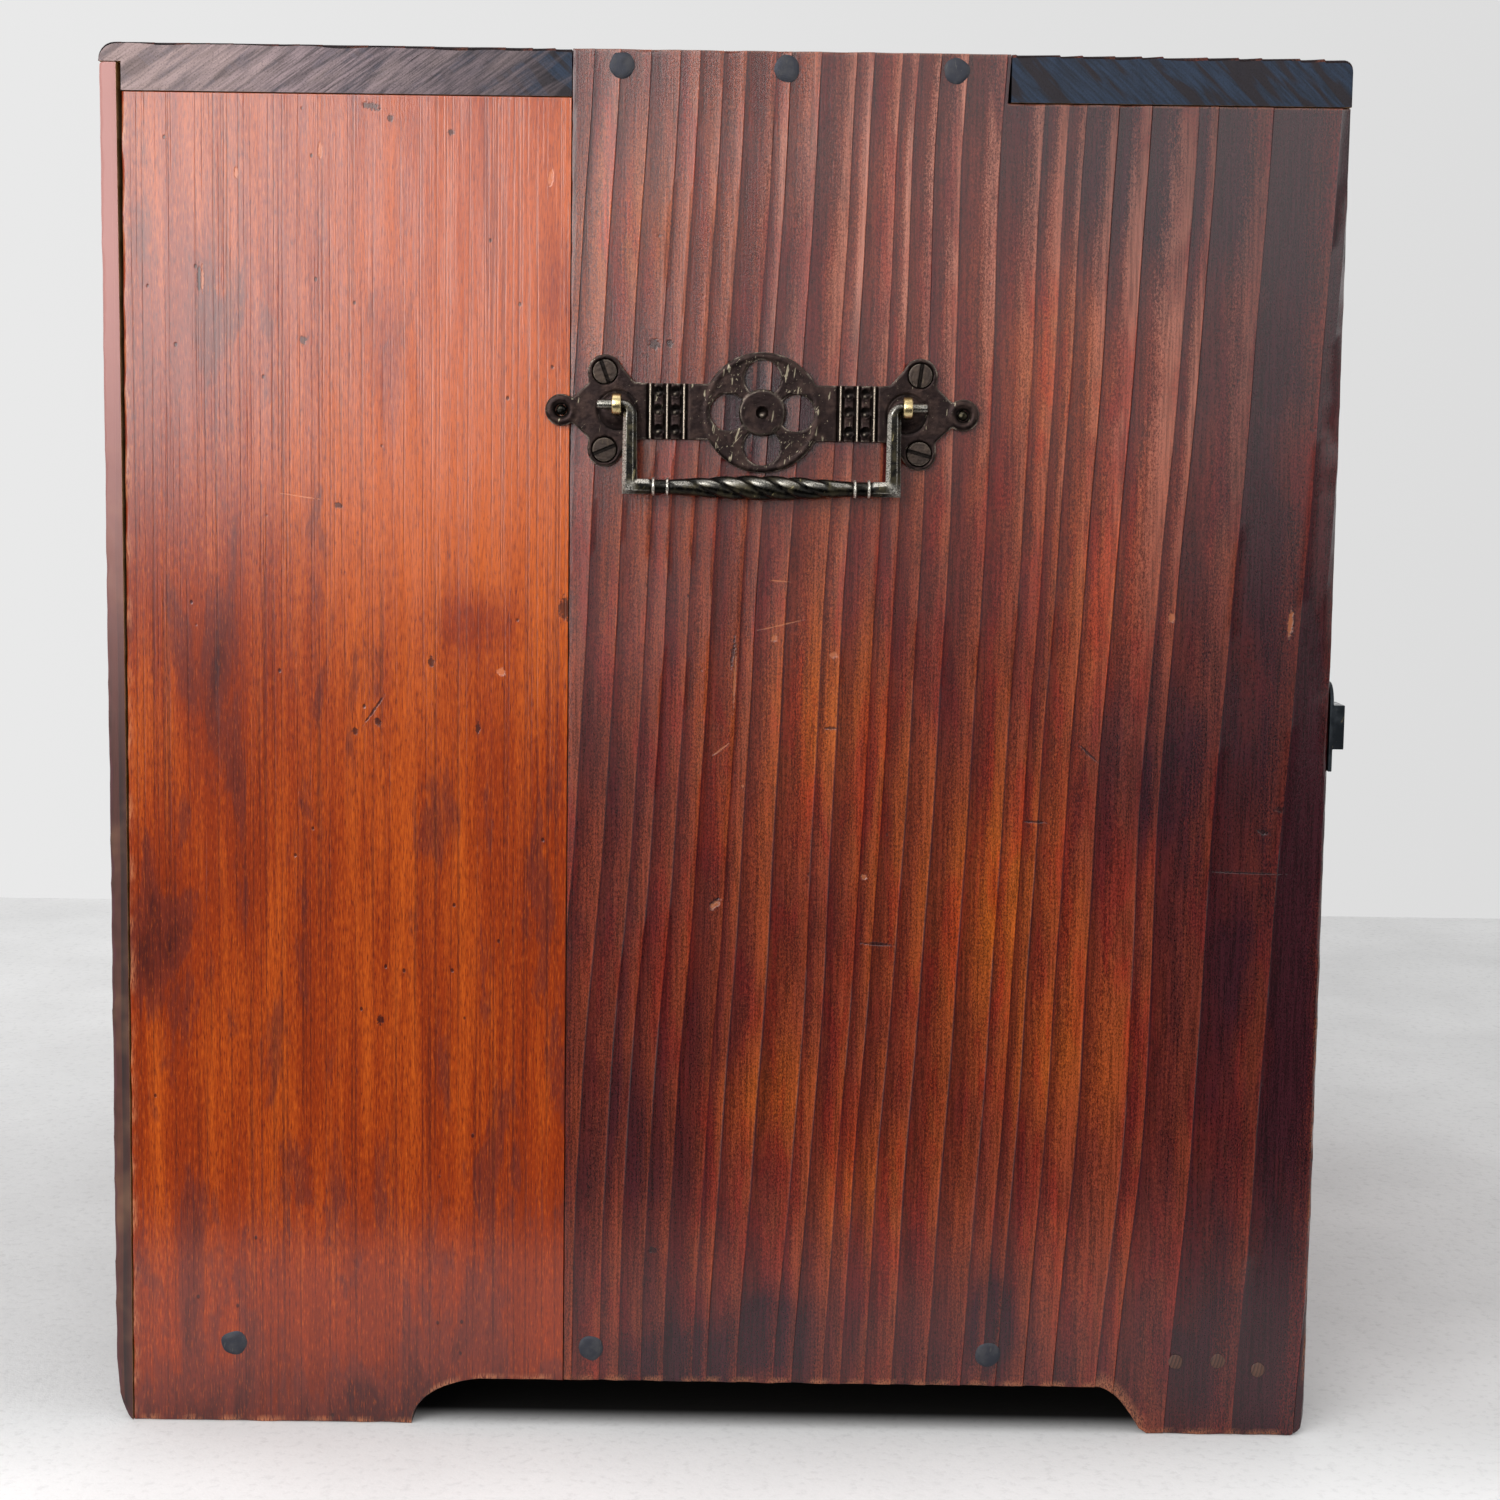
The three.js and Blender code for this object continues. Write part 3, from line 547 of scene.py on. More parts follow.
def along(axis: Axis, across: float, length: float) -> Triple:
    """Pattern sizes drawn out along a board's grain."""
    sizes = [across, across, across]
    sizes[axis.value] = length
    return (sizes[0], sizes[1], sizes[2])


class Mark(Enum):
    """What a small mark in the lacquer is."""

    DENT = "pressed in and dark"
    CHIP = "broken out and pale"
    LINE = "a pale scratch"
    STAIN = "a dark stain"


# For each kind, rows of a mark's distance from the rear edge, height, half sizes and turn in degrees.
Scars = dict[Mark, tuple[tuple[float, ...], ...]]


def scarred(bench: Bench, scars: Scars) -> tuple[Signal, Signal]:
    """Where a board's scars are dark, and where they are pale: 1 on them and 0 elsewhere."""
    low, high = box_of("side_left_rear_board")
    rough = bench.noise((1.1, 1.1, 1.1), 2.0, 0.6)
    ragged = 1.6 * (rough - 0.5)
    found = {True: 0.0 * rough, False: 0.0 * rough}
    for kind, places in scars.items():
        dark = kind in (Mark.DENT, Mark.STAIN)
        for across, up, reach, rise, turn in places:
            at = (low[0], high[1] - across, up)
            spot = bench.spot(at, (SCAR_DEPTH, reach, rise), math.radians(turn), ragged)
            found[dark] = bench.math("MAXIMUM", found[dark], spot)
    return found[True], found[False]


@dataclass(frozen=True)
class SmoothBoardFinish:
    """Lacquer on planed wood: fine streaks along the grain, warm where worn and dark where stained."""

    name: str
    grain: Axis
    deep: str
    middle: str
    bright: str
    stain: str
    plum: str
    scars: Scars

    def material(self) -> Material:
        """Streaks and flecks pick the colour, flames of stain cool it, and the mark called tone shifts it."""
        bench = Bench(bpy.data.materials.new(self.name), self.grain)
        tone = bench.mark("tone")
        broad = bench.streaks(7, 110, 2.0, 0.5, 0.2)
        fine = bench.streaks(1.2, 45, 3.0, 0.65)
        hair = bench.streaks(0.4, 5, 2.0, 0.65)
        fleck = bench.streaks(0.45, 3.0, 3.0, 0.62)
        flame = bench.streaks(14, 58, 5.0, 0.62, 0.4)
        line = bench.streaks(0.85, 160, 2.0, 0.5)
        pit = bench.nicks(13, 0.075, 0.45)
        dents, chips = scarred(bench, self.scars)
        torn = bench.mark("frayed") * bench.span(fleck, 0.4, 0.56)
        value = 0.35 * broad + 0.25 * fine + 0.3 * fleck + 0.2 * tone
        soaked = 1.7 * flame - 0.26 * tone + 0.22 * (fine - 0.5)
        colour = bench.coated(
            bench.ramp(value, {0.24: self.deep, 0.46: self.middle, 0.67: self.bright}),
            (bench.span(soaked, 0.88, 1.0, 0.0, 0.62), self.plum),
            (bench.span(soaked, 1.0, 1.3, 0.0, 0.75), self.stain),
            (bench.span(hair, 0.44, 0.68, 0.0, 0.5), self.deep),
            (bench.span(line, 0.54, 0.66, 0.0, 0.42), self.stain),
            (bench.span(fleck, 0.55, 0.7, 0.0, 0.3), self.bright),
            (bench.span(fleck, 0.44, 0.32, 0.0, 0.4), self.stain),
            # Paler pink where the lacquer has faded, partly a painted sheen.
            (0.25 * bench.mark("aged"), "c4827b"),
            (0.8 * bench.math("MAXIMUM", dents, pit), "241012"),
            (0.5 * chips, "d8845a"),
            (0.7 * torn, "b87650"),
        )
        height = 0.7 * fine + 0.4 * hair + 0.2 * fleck - bench.span(line, 0.54, 0.66, 0.0, 0.8)
        height = height - 2.5 * chips - 0.8 * dents - 1.5 * pit
        rough = bench.span(fine, 0.3, 0.7, 0.42, 0.55)
        return bench.finish(colour, rough, height, 0.1, 0.35, specular=0.02, coat=1.0, coat_roughness=0.17)


@dataclass(frozen=True)
class RaisedGrainFinish:
    """Lacquer on wood whose soft rings were scrubbed out: each ring runs from dark to a worn pale ridge, with
    painted shade behind each ridge and a painted highlight on it.
    """

    name: str
    grain: Axis
    soft: str
    hard: str
    warm_soft: str
    warm_hard: str
    stain: str
    coat: float = 0.5
    scars: Scars = field(default_factory=dict)

    def material(self) -> Material:
        """The mark called ring gives the place across a ring, band its own share, tone warms or darkens."""
        bench = Bench(bpy.data.materials.new(self.name), self.grain)
        ring, band, tone, aged = (bench.mark(name) for name in ("ring", "band", "tone", "aged"))
        drift = bench.streaks(4, 50, 2.0, 0.6)
        streak = bench.streaks(0.8, 22, 3.0, 0.65)
        speck = bench.streaks(0.45, 0.9, 3.0, 0.8)
        blur = bench.streaks(20, 60, 3.0, 0.55)
        rose = bench.streaks(9, 42, 3.0, 0.6, 0.3)
        pit = bench.nicks(12, 0.08, 0.3)
        dents, chips = scarred(bench, self.scars)
        torn = bench.mark("frayed") * bench.span(speck, 0.38, 0.56)
        at = ring + 1.3 * (speck - 0.5) + 0.6 * (drift - 0.5) + 0.35 * (band - 0.5)
        ridge = bench.span(at, 0.2, 0.95)
        cool = bench.mix(ridge, paint(self.soft), paint(self.hard))
        warm = bench.mix(ridge, paint(self.warm_soft), paint(self.warm_hard))
        glow = (tone + bench.span(blur, 0.3, 0.7, -0.2, 0.3)).clamped()
        colour = bench.mix(glow, cool, warm)
        colour = bench.mix(bench.span(rose, 0.46, 0.66), colour, (1.0, 0.6, 0.8, 1.0), "MULTIPLY")
        dark = (bench.span(blur, 0.35, 0.7, 0.25, -0.25) - tone).clamped()
        colour = bench.coated(colour, (dark * bench.span(at, 0.5, 1.0, 1.0, 0.7), self.stain))
        shade = bench.span(0.45 * streak + 0.65 * speck, 0.41, 0.7, 0.45, 1.7)
        # Painted shadow just past each ring's hard edge, where the step shades it, and a painted highlight on
        # the edge's crest.
        shade = shade * bench.span(ring, 0.0, 0.4, 0.84, 1.0) * bench.span(ring, 0.92, 1.0, 1.0, 1.3)
        shade = shade * bench.span(band, 0.0, 1.0, 0.94, 1.08)
        colour = bench.mix(1.0, colour, bench.vector(shade), "MULTIPLY")
        # Paler ridges where the lacquer has faded, partly a painted sheen.
        faded = aged * bench.span(at, 0.5, 0.95, 0.0, 0.62) * bench.span(rose, 0.66, 0.42, 0.25, 1.0)
        colour = bench.coated(
            colour,
            # A thin painted shadow with grime at the foot of each hard edge.
            (bench.span(ring, 0.0, 0.05, 0.75, 0.0), self.stain),
            ((faded * bench.span(streak, 0.34, 0.6, 0.45, 1.0)).clamped(), "bc7c68"),
            (0.75 * bench.math("MAXIMUM", dents, pit), "1a0d0f"),
            (0.5 * chips, "b46a42"),
            (0.7 * torn, "9a6040"),
        )
        height = 0.5 * streak + 0.6 * speck - 2.5 * chips - 0.8 * dents - pit
        rough = bench.span(ridge, 0.0, 1.0, 0.6, 0.5)
        return bench.finish(colour, rough, height, 0.14, 0.5, specular=0.02, coat=self.coat)


@dataclass(frozen=True)
class EndGrainFinish:
    """Stained end grain: brown streaks rise to the right at the rear, blue-black ones fall at the front; the
    rear's pale grey-brown is partly a painted sheen.
    """

    name: str
    brown: str
    pale: str
    slate: str
    deep: str
    rise: float = -0.62
    fall: float = 0.75
    steeper_fall: float = 0.8

    def material(self) -> Material:
        """Streaks turned about X, blended from rear to front, with dark cracks between the rear ones."""
        bench = Bench(bpy.data.materials.new(self.name))
        rise = (self.rise, 0, 0)
        along_side = bench.parts(bench.coordinates("Object"))[1]
        front = bench.span(along_side, 0.09, 0.02)
        behind = 1.0 - front
        streak = bench.noise((30, 13, 0.7), 3.0, 0.65, 0.15, rise)
        broad = bench.noise((60, 40, 4.0), 3.0, 0.6, 0.3, rise)
        patch = bench.noise((40, 26, 9), 3.0, 0.6, 0.0, rise)
        fallen = bench.noise((30, 13, 0.9), 3.0, 0.6, 0.2, (self.fall, 0, 0))
        wide = bench.noise((60, 36, 5.0), 2.0, 0.5, 0.4, (self.steeper_fall, 0, 0))
        speck = bench.noise((0.6, 0.6, 0.6), 2.0, 0.7)
        warm = bench.coated(
            paint(self.deep),
            (bench.span(streak, 0.32, 0.66, 0.25, 1.0), self.brown),
            (bench.span(patch, 0.45, 0.75, 0.0, 0.3), self.pale),
            # Paler towards the rear end and darker towards the front of the rear tab: a painted sheen.
            (bench.span(along_side, 0.12, 0.2, 0.0, 0.6), self.pale),
            (bench.span(along_side, 0.15, 0.06, 0.0, 0.55), self.deep),
        )
        cold = bench.coated(
            paint(self.deep),
            (bench.span(fallen, 0.3, 0.68, 0.25, 1.0), self.slate),
            (bench.span(wide, 0.5, 0.57, 0.0, 0.85), "241d1e"),
        )
        stained = (1.5 * front + bench.span(broad, 0.35, 0.65, -0.45, 0.5)).clamped()
        crack = bench.span(broad, 0.3, 0.36, 1.0, 0.0) * bench.span(streak, 0.5, 0.4) * behind
        colour = bench.coated(
            bench.mix(stained, warm, cold),
            (0.8 * crack, "08080a"),
            (bench.span(speck, 0.3, 0.5, 0.4, 0.0), "0c0c10"),
        )
        height = front * fallen + behind * streak + speck - crack
        return bench.finish(colour, 0.55, height, 0.15, 0.5, specular=0.1, coat=0.1, coat_roughness=0.35)


@dataclass(frozen=True)
class PlainWoodFinish:
    """Bare or stained wood with rings that run through it, so that its ends show end grain.

    Attributes:
        ring: Width of a ring, in millimetres.
        tilt: How far the rings are turned about the grain.
        wear: Share of the worn paint in its blotches.
        waver: How far the rings bend, in rings.
        faded: Pale paint over the outermost millimetres of a board's edge, from half its height up: wear with
            a painted highlight.
    """

    name: str
    grain: Axis
    early: str
    late: str
    ring: float
    tilt: float
    worn: str
    wear: float
    waver: float
    roughness: float
    coat: float = 0.0
    faded: str = ""

    def material(self) -> Material:
        """Bands across the grain, bent by noise, with fibres along it and worn blotches over it."""
        bench = Bench(bpy.data.materials.new(self.name), self.grain)
        where = bench.place(along(self.grain, self.ring, self.ring * 40), along(self.grain, 0.0, self.tilt))
        bend = bench.vector(self.waver * bench.streaks(self.ring * 7, self.ring * 30, 1.0))
        shifted = bench.fed("ShaderNodeVectorMath", {0: where, 1: bend}, operation="ADD")
        across = bench.parts(shifted)[1 if self.grain is not Axis.Y else 0]
        ring = bench.math("FRACT", across)
        late = bench.span(ring, 0.25, 0.92) * bench.span(ring, 1.0, 0.94)
        fibre = bench.streaks(0.5, 14, 3.0, 0.65)
        blotch = bench.noise((24, 24, 24), 3.0, 0.6)
        shade = bench.mix(bench.span(fibre, 0.3, 0.7, 0.78, 1.2), (0, 0, 0, 1), (1, 1, 1, 1))
        colour = bench.mix(1.0, bench.mix(late, paint(self.early), paint(self.late)), shade, "MULTIPLY")
        colour = bench.coated(colour, (self.wear * bench.span(blotch, 0.45, 0.75), self.worn))
        # Painted highlight with wear along the board's outer edge, from half its height up.
        if self.faded:
            x, _, z = bench.parts(bench.coordinates("Object"))
            rim = bench.span(bench.math("ABSOLUTE", x), 0.236, 0.2385) * bench.span(z, 0.2, 0.4, 0.0, 0.95)
            colour = bench.coated(colour, (rim, self.faded))
        height = 0.5 * late + 0.5 * fibre
        return bench.finish(colour, self.roughness, height, 0.12, specular=0.3, coat=self.coat)


@dataclass(frozen=True)
class IronFinish:
    """Old iron: a dark skin, mottled, with brighter metal where hands and tools have rubbed it, and painted
    highlights and glints.
    """

    name: str
    skin: str
    mottle: str
    rubbed: str
    rub: float
    roughness: float
    scratch: str = "8a7c5c"
    metallic: float = 0.9

    def material(self) -> Material:
        """Blotches over the skin, bright scratches and edges with painted glints (mark worn), and painted
        shade with grime in hollows (mark hollow).
        """
        bench = Bench(bpy.data.materials.new(self.name))
        cloud = bench.noise((4, 4, 4), 4.0, 0.65)
        grit = bench.noise((0.45, 0.45, 0.45), 3.0, 0.7)
        ease = 0.05 * bench.mark("scuffed")
        scratches = bench.span(bench.noise((3.0, 1.3, 7.0), 2.0, 0.55, 0.3, (0.12, 0, 0)) + ease, 0.68, 0.72)
        for sizes, turn in (((2.0, 0.7, 3.6), (0.7, 0, 0)), ((0.7, 0.7, 2.8), (0, 0.8, 0))):
            other = bench.span(bench.noise(sizes, 2.0, 0.6, 0.4, turn) + ease, 0.71, 0.75)
            scratches = bench.math("MAXIMUM", scratches, other)
        colour = bench.coated(
            paint(self.skin),
            (bench.span(cloud, 0.42, 0.68), self.mottle),
            (self.rub * scratches, self.scratch),
            # Bright metal where the worn mark is: rubbed wear, and painted glints and highlights.
            (bench.mark("worn") * bench.span(grit, 0.35, 0.6, 0.15, 1.0), self.rubbed),
            # Painted shade with grime, near black, in slots, pits, grooves and creases.
            (0.85 * bench.mark("hollow"), "080605"),
        )
        rough = bench.span(cloud, 0.3, 0.7, self.roughness - 0.08, self.roughness + 0.1) + 0.1 * grit
        return bench.finish(colour, rough, 0.5 * cloud + 0.5 * grit, 0.12, 0.6, metallic=self.metallic)


REAR_SCARS = {
    Mark.DENT: (
        (79.3, 431.1, 3.6, 1.3, 10), (85.3, 427.4, 1.0, 1.6, 0), (104.6, 423.3, 1.2, 1.4, 30),
        (57.5, 357.3, 1.3, 1.8, 0), (24.4, 376.5, 0.7, 5.5, 0), (68.6, 304.9, 1.6, 1.0, 20),
        (98.6, 254.7, 1.2, 2.0, 0), (81.4, 235.0, 1.3, 1.5, 0), (74.0, 231.9, 1.2, 1.4, 0),
        (113.9, 233.5, 1.0, 2.2, 0), (82.1, 136.7, 1.3, 1.8, 0),
    ),
    Mark.LINE: (
        (25.4, 376.5, 0.5, 4.5, 0), (56.0, 307.6, 6.8, 0.35, 8),
    ),
    Mark.CHIP: (
        (121.3, 251.8, 1.6, 1.4, 20), (136.4, 409.4, 1.0, 3.2, 4), (63.1, 417.1, 0.9, 2.8, 0),
        (36.4, 409.9, 0.8, 2.2, 0),
    ),
    Mark.STAIN: (
        (80.1, 238.9, 0.5, 6.5, 35), (142.5, 272.8, 3.4, 4.4, 0),
    ),
}
FRONT_SCARS = {
    Mark.LINE: (
        (210.8, 282.5, 3.6, 0.35, 4), (192.8, 227.7, 3.6, 0.35, -38), (211.7, 268.3, 7.5, 0.3, -14),
    ),
    Mark.STAIN: (
        (196.2, 259.0, 0.6, 6.0, 6), (312.0, 228.1, 5.0, 0.45, 42), (295.7, 205.3, 4.4, 0.5, 3),
        (244.7, 164.3, 6.0, 0.7, 3), (365.0, 189.5, 14.0, 0.35, 1),
    ),
    Mark.CHIP: (
        (196.9, 250.5, 0.4, 10.0, 2), (209.5, 264.1, 1.1, 1.5, 0), (228.7, 258.8, 1.4, 1.2, 0),
        (191.5, 176.5, 2.6, 1.0, -38), (337.9, 272.4, 1.2, 1.6, 0), (376.2, 271.0, 1.0, 4.8, 2),
        (240.0, 186.4, 1.2, 0.9, 0), (200.1, 215.7, 0.5, 0.5, 0),
    ),
    Mark.DENT: (
        (228.4, 235.1, 2.4, 0.6, 0), (191.0, 177.4, 2.4, 0.8, -38), (172.1, 60.6, 1.6, 1.2, 0),
        (374.9, 210.4, 1.6, 1.2, 0), (369.6, 203.0, 2.2, 0.9, 8), (170.0, 357.7, 2.2, 1.9, 0),
        (174.6, 358.0, 1.3, 1.6, 0),
    ),
}

REAR_WOOD = SmoothBoardFinish(
    "smooth_rear_board", Axis.Z, "65200a", "8a300c", "c05816", "2c1214", "5a2620", REAR_SCARS)
SIDE_GRAIN = RaisedGrainFinish(
    "raised_side_grain", Axis.Z, "521b12", "6e2e18", "66280e", "8c4211", "2b0d14", 0.9, FRONT_SCARS)
TOP_GRAIN = RaisedGrainFinish(
    "raised_top_grain", Axis.X, "43201a", "74402a", "642818", "8a4824", "1c1315", 0.22)
FRONT_PAINTS = ("4c1a12", "80361c", "681f0e", "9a4418", "1e1011")
FRONT_GRAIN = RaisedGrainFinish("raised_front_grain", Axis.X, *FRONT_PAINTS)
DOOR_GRAIN = RaisedGrainFinish("raised_door_grain", Axis.Z, *FRONT_PAINTS)
TOP_END = EndGrainFinish("slate_end_grain", "8e7c80", "b49c96", "283446", "1b1d23")
EDGE_PAINTS = ("46241e", "281716", 4.0, 0.3, "906a50", 0.35, 1.5, 0.6, 0.2)
DARK_EDGE = PlainWoodFinish("dark_board_edge", Axis.Z, *EDGE_PAINTS)
BACK_EDGE = PlainWoodFinish("back_board_edge", Axis.Z, *EDGE_PAINTS, "b4807a")
BACK_WOOD = PlainWoodFinish(
    "back_board_wood", Axis.Z, "4a2628", "2c161b", 5.0, 0.4, "6a4a3a", 0.22, 1.4, 0.6, 0.15, "b4807a")
INNER_PAINTS = ("b48f62", "94703f", 6.0, 0.35, "c4a67c", 0.4, 1.6, 0.65)
INNER_WOOD = PlainWoodFinish("inner_wood", Axis.X, *INNER_PAINTS)
INNER_WOOD_DEEP = PlainWoodFinish("inner_wood_deep", Axis.Y, *INNER_PAINTS)
STAINED_EDGE = PlainWoodFinish(
    "stained_front_edge", Axis.X, "4f2219", "2f1716", 5.0, 0.4, "6f3c2a", 0.4, 1.6, 0.5, 0.4)
PEG_WOOD = PlainWoodFinish("peg_wood", Axis.X, "50342a", "2f1f1a", 1.2, 0.3, "7c5c48", 0.6, 1.5, 0.6, 0.2)
PLATE_IRON = IronFinish("bronzed_iron_plate", "211817", "362925", "d8c8b4", 0.8, 0.34, "8e8470")
BAIL_IRON = IronFinish("handled_iron_bail", "151412", "3a3527", "f6f0e4", 0.55, 0.24, "8f845e")
BLACK_IRON = IronFinish("blackened_iron", "1c2024", "2c3034", "84827a", 0.3, 0.42)
SCREW_IRON = IronFinish("screw_iron", "362e2a", "4a3f38", "a09486", 0.25, 0.5)
NAIL_IRON = IronFinish("nail_iron", "2a2c34", "3c3c40", "6a655c", 0.3, 0.5, "6a655c", 0.6)
EYE_BRASS = IronFinish("eye_brass", "cdb98a", "957f4e", "f6efd6", 0.5, 0.24, "f6efd6", 1.0)


@dataclass(frozen=True)
class Swell:
    """A soft hill in a board's pattern: strength times exp(-(du / reach)^2 - (dv / rise)^2)."""

    across: float
    along: float
    reach: float
    rise: float
    strength: float

    def at(self, across: Array, along_grain: Array) -> Array:
        """Its height at each place."""
        du = (across - self.across) / self.reach
        dv = (along_grain - self.along) / self.rise
        return self.strength * np.exp(-du ** 2 - dv ** 2)


def swells(hills: tuple[Swell, ...], across: Array, along_grain: Array) -> Array:
    """The sum of several hills."""
    total = np.zeros(np.broadcast(across, along_grain).shape)
    for hill in hills:
        total += hill.at(across, along_grain)
    return total


@dataclass(frozen=True)
class Rings:
    """Growth rings across a board, with their hard edges standing proud.

    Attributes:
        start: Place of the first hard edge at the board's middle.
        widths: Width of each ring there.
        middle: Height at which those places hold.
        lean: How far the rings lean across for each millimetre along the grain.
        bends: Hills added to the lean, in millimetres.
        relief: Height of a hard edge over the soft wood beside it.
        drop: Width of the fall behind a hard edge.
        seed: Seed of what differs from ring to ring.
    """

    start: float
    widths: tuple[float, ...]
    middle: float = 0.0
    lean: float = 0.0
    bends: tuple[Swell, ...] = ()
    relief: float = 0.45
    drop: float = 0.4
    seed: int = 1

    def edges(self) -> Array:
        """Places of the hard edges."""
        return self.start + np.cumsum(np.concatenate([[0.0], self.widths]))

    def columns(self, low: float, high: float, spare: float) -> Array:
        """Places of grid lines: two at each hard edge and five across each ring."""
        edges = self.edges()
        inner = np.array([0.18, 0.36, 0.54, 0.7, 0.86])
        room = np.array(self.widths)[:, None] - self.drop
        between = edges[:-1, None] + self.drop + room * inner
        found = lines(edges, edges[:-1] + self.drop, between.ravel())
        return found[(found > low - spare) & (found < high + spare)]

    def shift(self, across: Array, along_grain: Array) -> Array:
        """How far a ring has moved across at a place along the grain: lean, bends and a slow wobble."""
        slow, quick = np.sin(along_grain / 37 + across / 60), np.sin(along_grain / 13 + across / 25)
        leaning = self.lean * (along_grain - self.middle)
        return leaning + swells(self.bends, across, along_grain) + (0.35 * slow + 0.14 * quick)

    def share(self, across: Array) -> tuple[Array, Array, Array]:
        """For each place: its share of the way across its ring, the ring's random value and its width."""
        edges = self.edges()
        number = np.clip(np.searchsorted(edges, across - 1e-6) - 1, 0, len(self.widths) - 1)
        width = np.array(self.widths)[number]
        share = np.clip((across - edges[number] - self.drop) / (width - self.drop), 0, 1)
        chance = np.random.default_rng(self.seed).uniform(0, 1, len(self.widths))
        return share, chance[number], width


def uneven_widths(seed: int, total: float, low: float, high: float) -> tuple[float, ...]:
    """Ring widths drawn between two values until they fill a length."""
    rng = np.random.default_rng(seed)
    widths: list[float] = []
    while sum(widths) < total:
        widths.append(float(rng.uniform(low, high)))
    return tuple(widths)


def row_shares(length: float, spacing: float) -> Array:
    """Grid lines along the grain as shares of its length, closer at both ends, where edges round off."""
    close = np.array([0.0, 0.2, 0.5, 0.9, 1.5, 2.6])
    count = max(2, int(round((length - 2 * close[-1]) / spacing)))
    return even(close[-1], length - close[-1], count + 1, close, length - close) / length


@dataclass(frozen=True)
class SidePattern:
    """What a side's two boards look like, read off the photographed side.

    Attributes:
        rings: The front board's rings.
        front_tones: Warm and dark places on the front board, with painted shade round the handle's plate and
            a painted shadow under its petals.
        rear_tones: Warm and dark places on the rear board.
        front_aged: Where the front board's ridges are paler: faded lacquer and a painted sheen.
        rear_aged: Where the rear board is paler: faded lacquer and a painted sheen.
    """

    rings: Rings
    front_tones: tuple[Swell, ...]
    rear_tones: tuple[Swell, ...]
    front_aged: tuple[Swell, ...]
    rear_aged: tuple[Swell, ...]


SIDE_PATTERN = SidePattern(
    rings=Rings(
        start=118.0,
        widths=(7.0, 7.0, 7.0, 8.3, 9.7, 9.4, 6.3, 7.5, 7.3, 9.6, 4.8, 9.9, 12.2, 6.3, 10.4, 6.1, 8.0,
                8.9, 11.3, 11.4, 6.6, 4.9, 9.1, 9.5, 14.0, 6.1, 18.2, 22.7, 20.5, 12.0),
        middle=238.0,
        lean=0.05,
        bends=(Swell(262, 430, 32, 110, -6.0), Swell(336, 110, 20, 70, 3.2), Swell(336, 400, 26, 90, 2.0),
               Swell(165, 110, 30, 80, -2.6), Swell(225, 120, 14, 70, 1.6), Swell(255, 100, 20, 70, -1.6)),
    ),
    front_tones=(
        Swell(380, 225, 40, 500, -1.0), Swell(330, 432, 42, 46, -1.2), Swell(295, 352, 17, 26, 0.9),
        # The last hill in the next row, round the handle, is painted shade.
        Swell(160, 395, 14, 30, 1.0), Swell(272, 440, 16, 16, -0.5), Swell(215, 335, 45, 16, -0.5),
        Swell(225, 245, 20, 28, 0.9), Swell(160, 215, 14, 40, -0.35), Swell(335, 220, 26, 32, -0.6),
        Swell(278, 185, 22, 34, 0.95), Swell(305, 125, 20, 30, 0.55), Swell(210, 112, 14, 18, 0.8),
        Swell(238, 84, 14, 20, 0.5), Swell(165, 100, 26, 66, -0.65), Swell(200, 22, 45, 26, -0.7),
        Swell(300, 22, 60, 28, -0.45), Swell(315, 290, 16, 26, 0.5), Swell(374, 34, 6, 16, -1.4),
        # Painted shadow of the handle's plate on the wood seen through its petals.
        Swell(204.6, 336.3, 15, 15, -1.5),
        Swell(374, 10, 7, 10, -1.0), Swell(360, 34, 4, 9, -0.9), Swell(285, 38, 6, 13, -1.5),
        Swell(210, 34, 11, 12, -1.3), Swell(180, 22, 14, 10, -0.8), Swell(346, 30, 3, 6, -0.7),
    ),
    rear_tones=(
        Swell(118, 320, 60, 75, 1.35), Swell(58, 310, 20, 30, 0.35), Swell(88, 190, 14, 70, 0.4),
        Swell(10, 165, 12, 24, -0.7), Swell(80, 12, 90, 30, -0.5), Swell(26, 252, 10, 24, -0.55),
        Swell(112, 268, 13, 10, -0.8), Swell(62, 150, 8, 50, -0.3), Swell(25, 368, 5, 24, -0.6),
        Swell(62, 300, 8, 40, -0.3), Swell(44, 190, 10, 40, 0.2), Swell(95, 120, 8, 60, -0.2),
        Swell(8, 235, 9, 30, 0.7), Swell(70, 425, 130, 50, 0.45), Swell(39, 186, 5, 26, -0.6),
        Swell(136, 400, 22, 50, 0.4), Swell(84, 352, 7, 26, -0.7), Swell(140, 372, 7, 22, -0.8),
        Swell(70, 0, 120, 16, -0.9), Swell(55, 125, 55, 60, 0.35),
    ),
    front_aged=(Swell(264, 405, 34, 75, 1.15), Swell(330, 360, 28, 75, 0.7), Swell(205, 400, 40, 60, 0.5)),
    rear_aged=(Swell(115, 400, 40, 80, 0.9), Swell(50, 400, 60, 80, 0.3)),
)


def outer_face(hand: str) -> tuple[float, float]:
    """X of a side's outer face and Y of its rear edge."""
    low, high = box_of(f"side_{hand}_rear_board")
    return (low[0] if hand == "left" else high[0]), high[1]


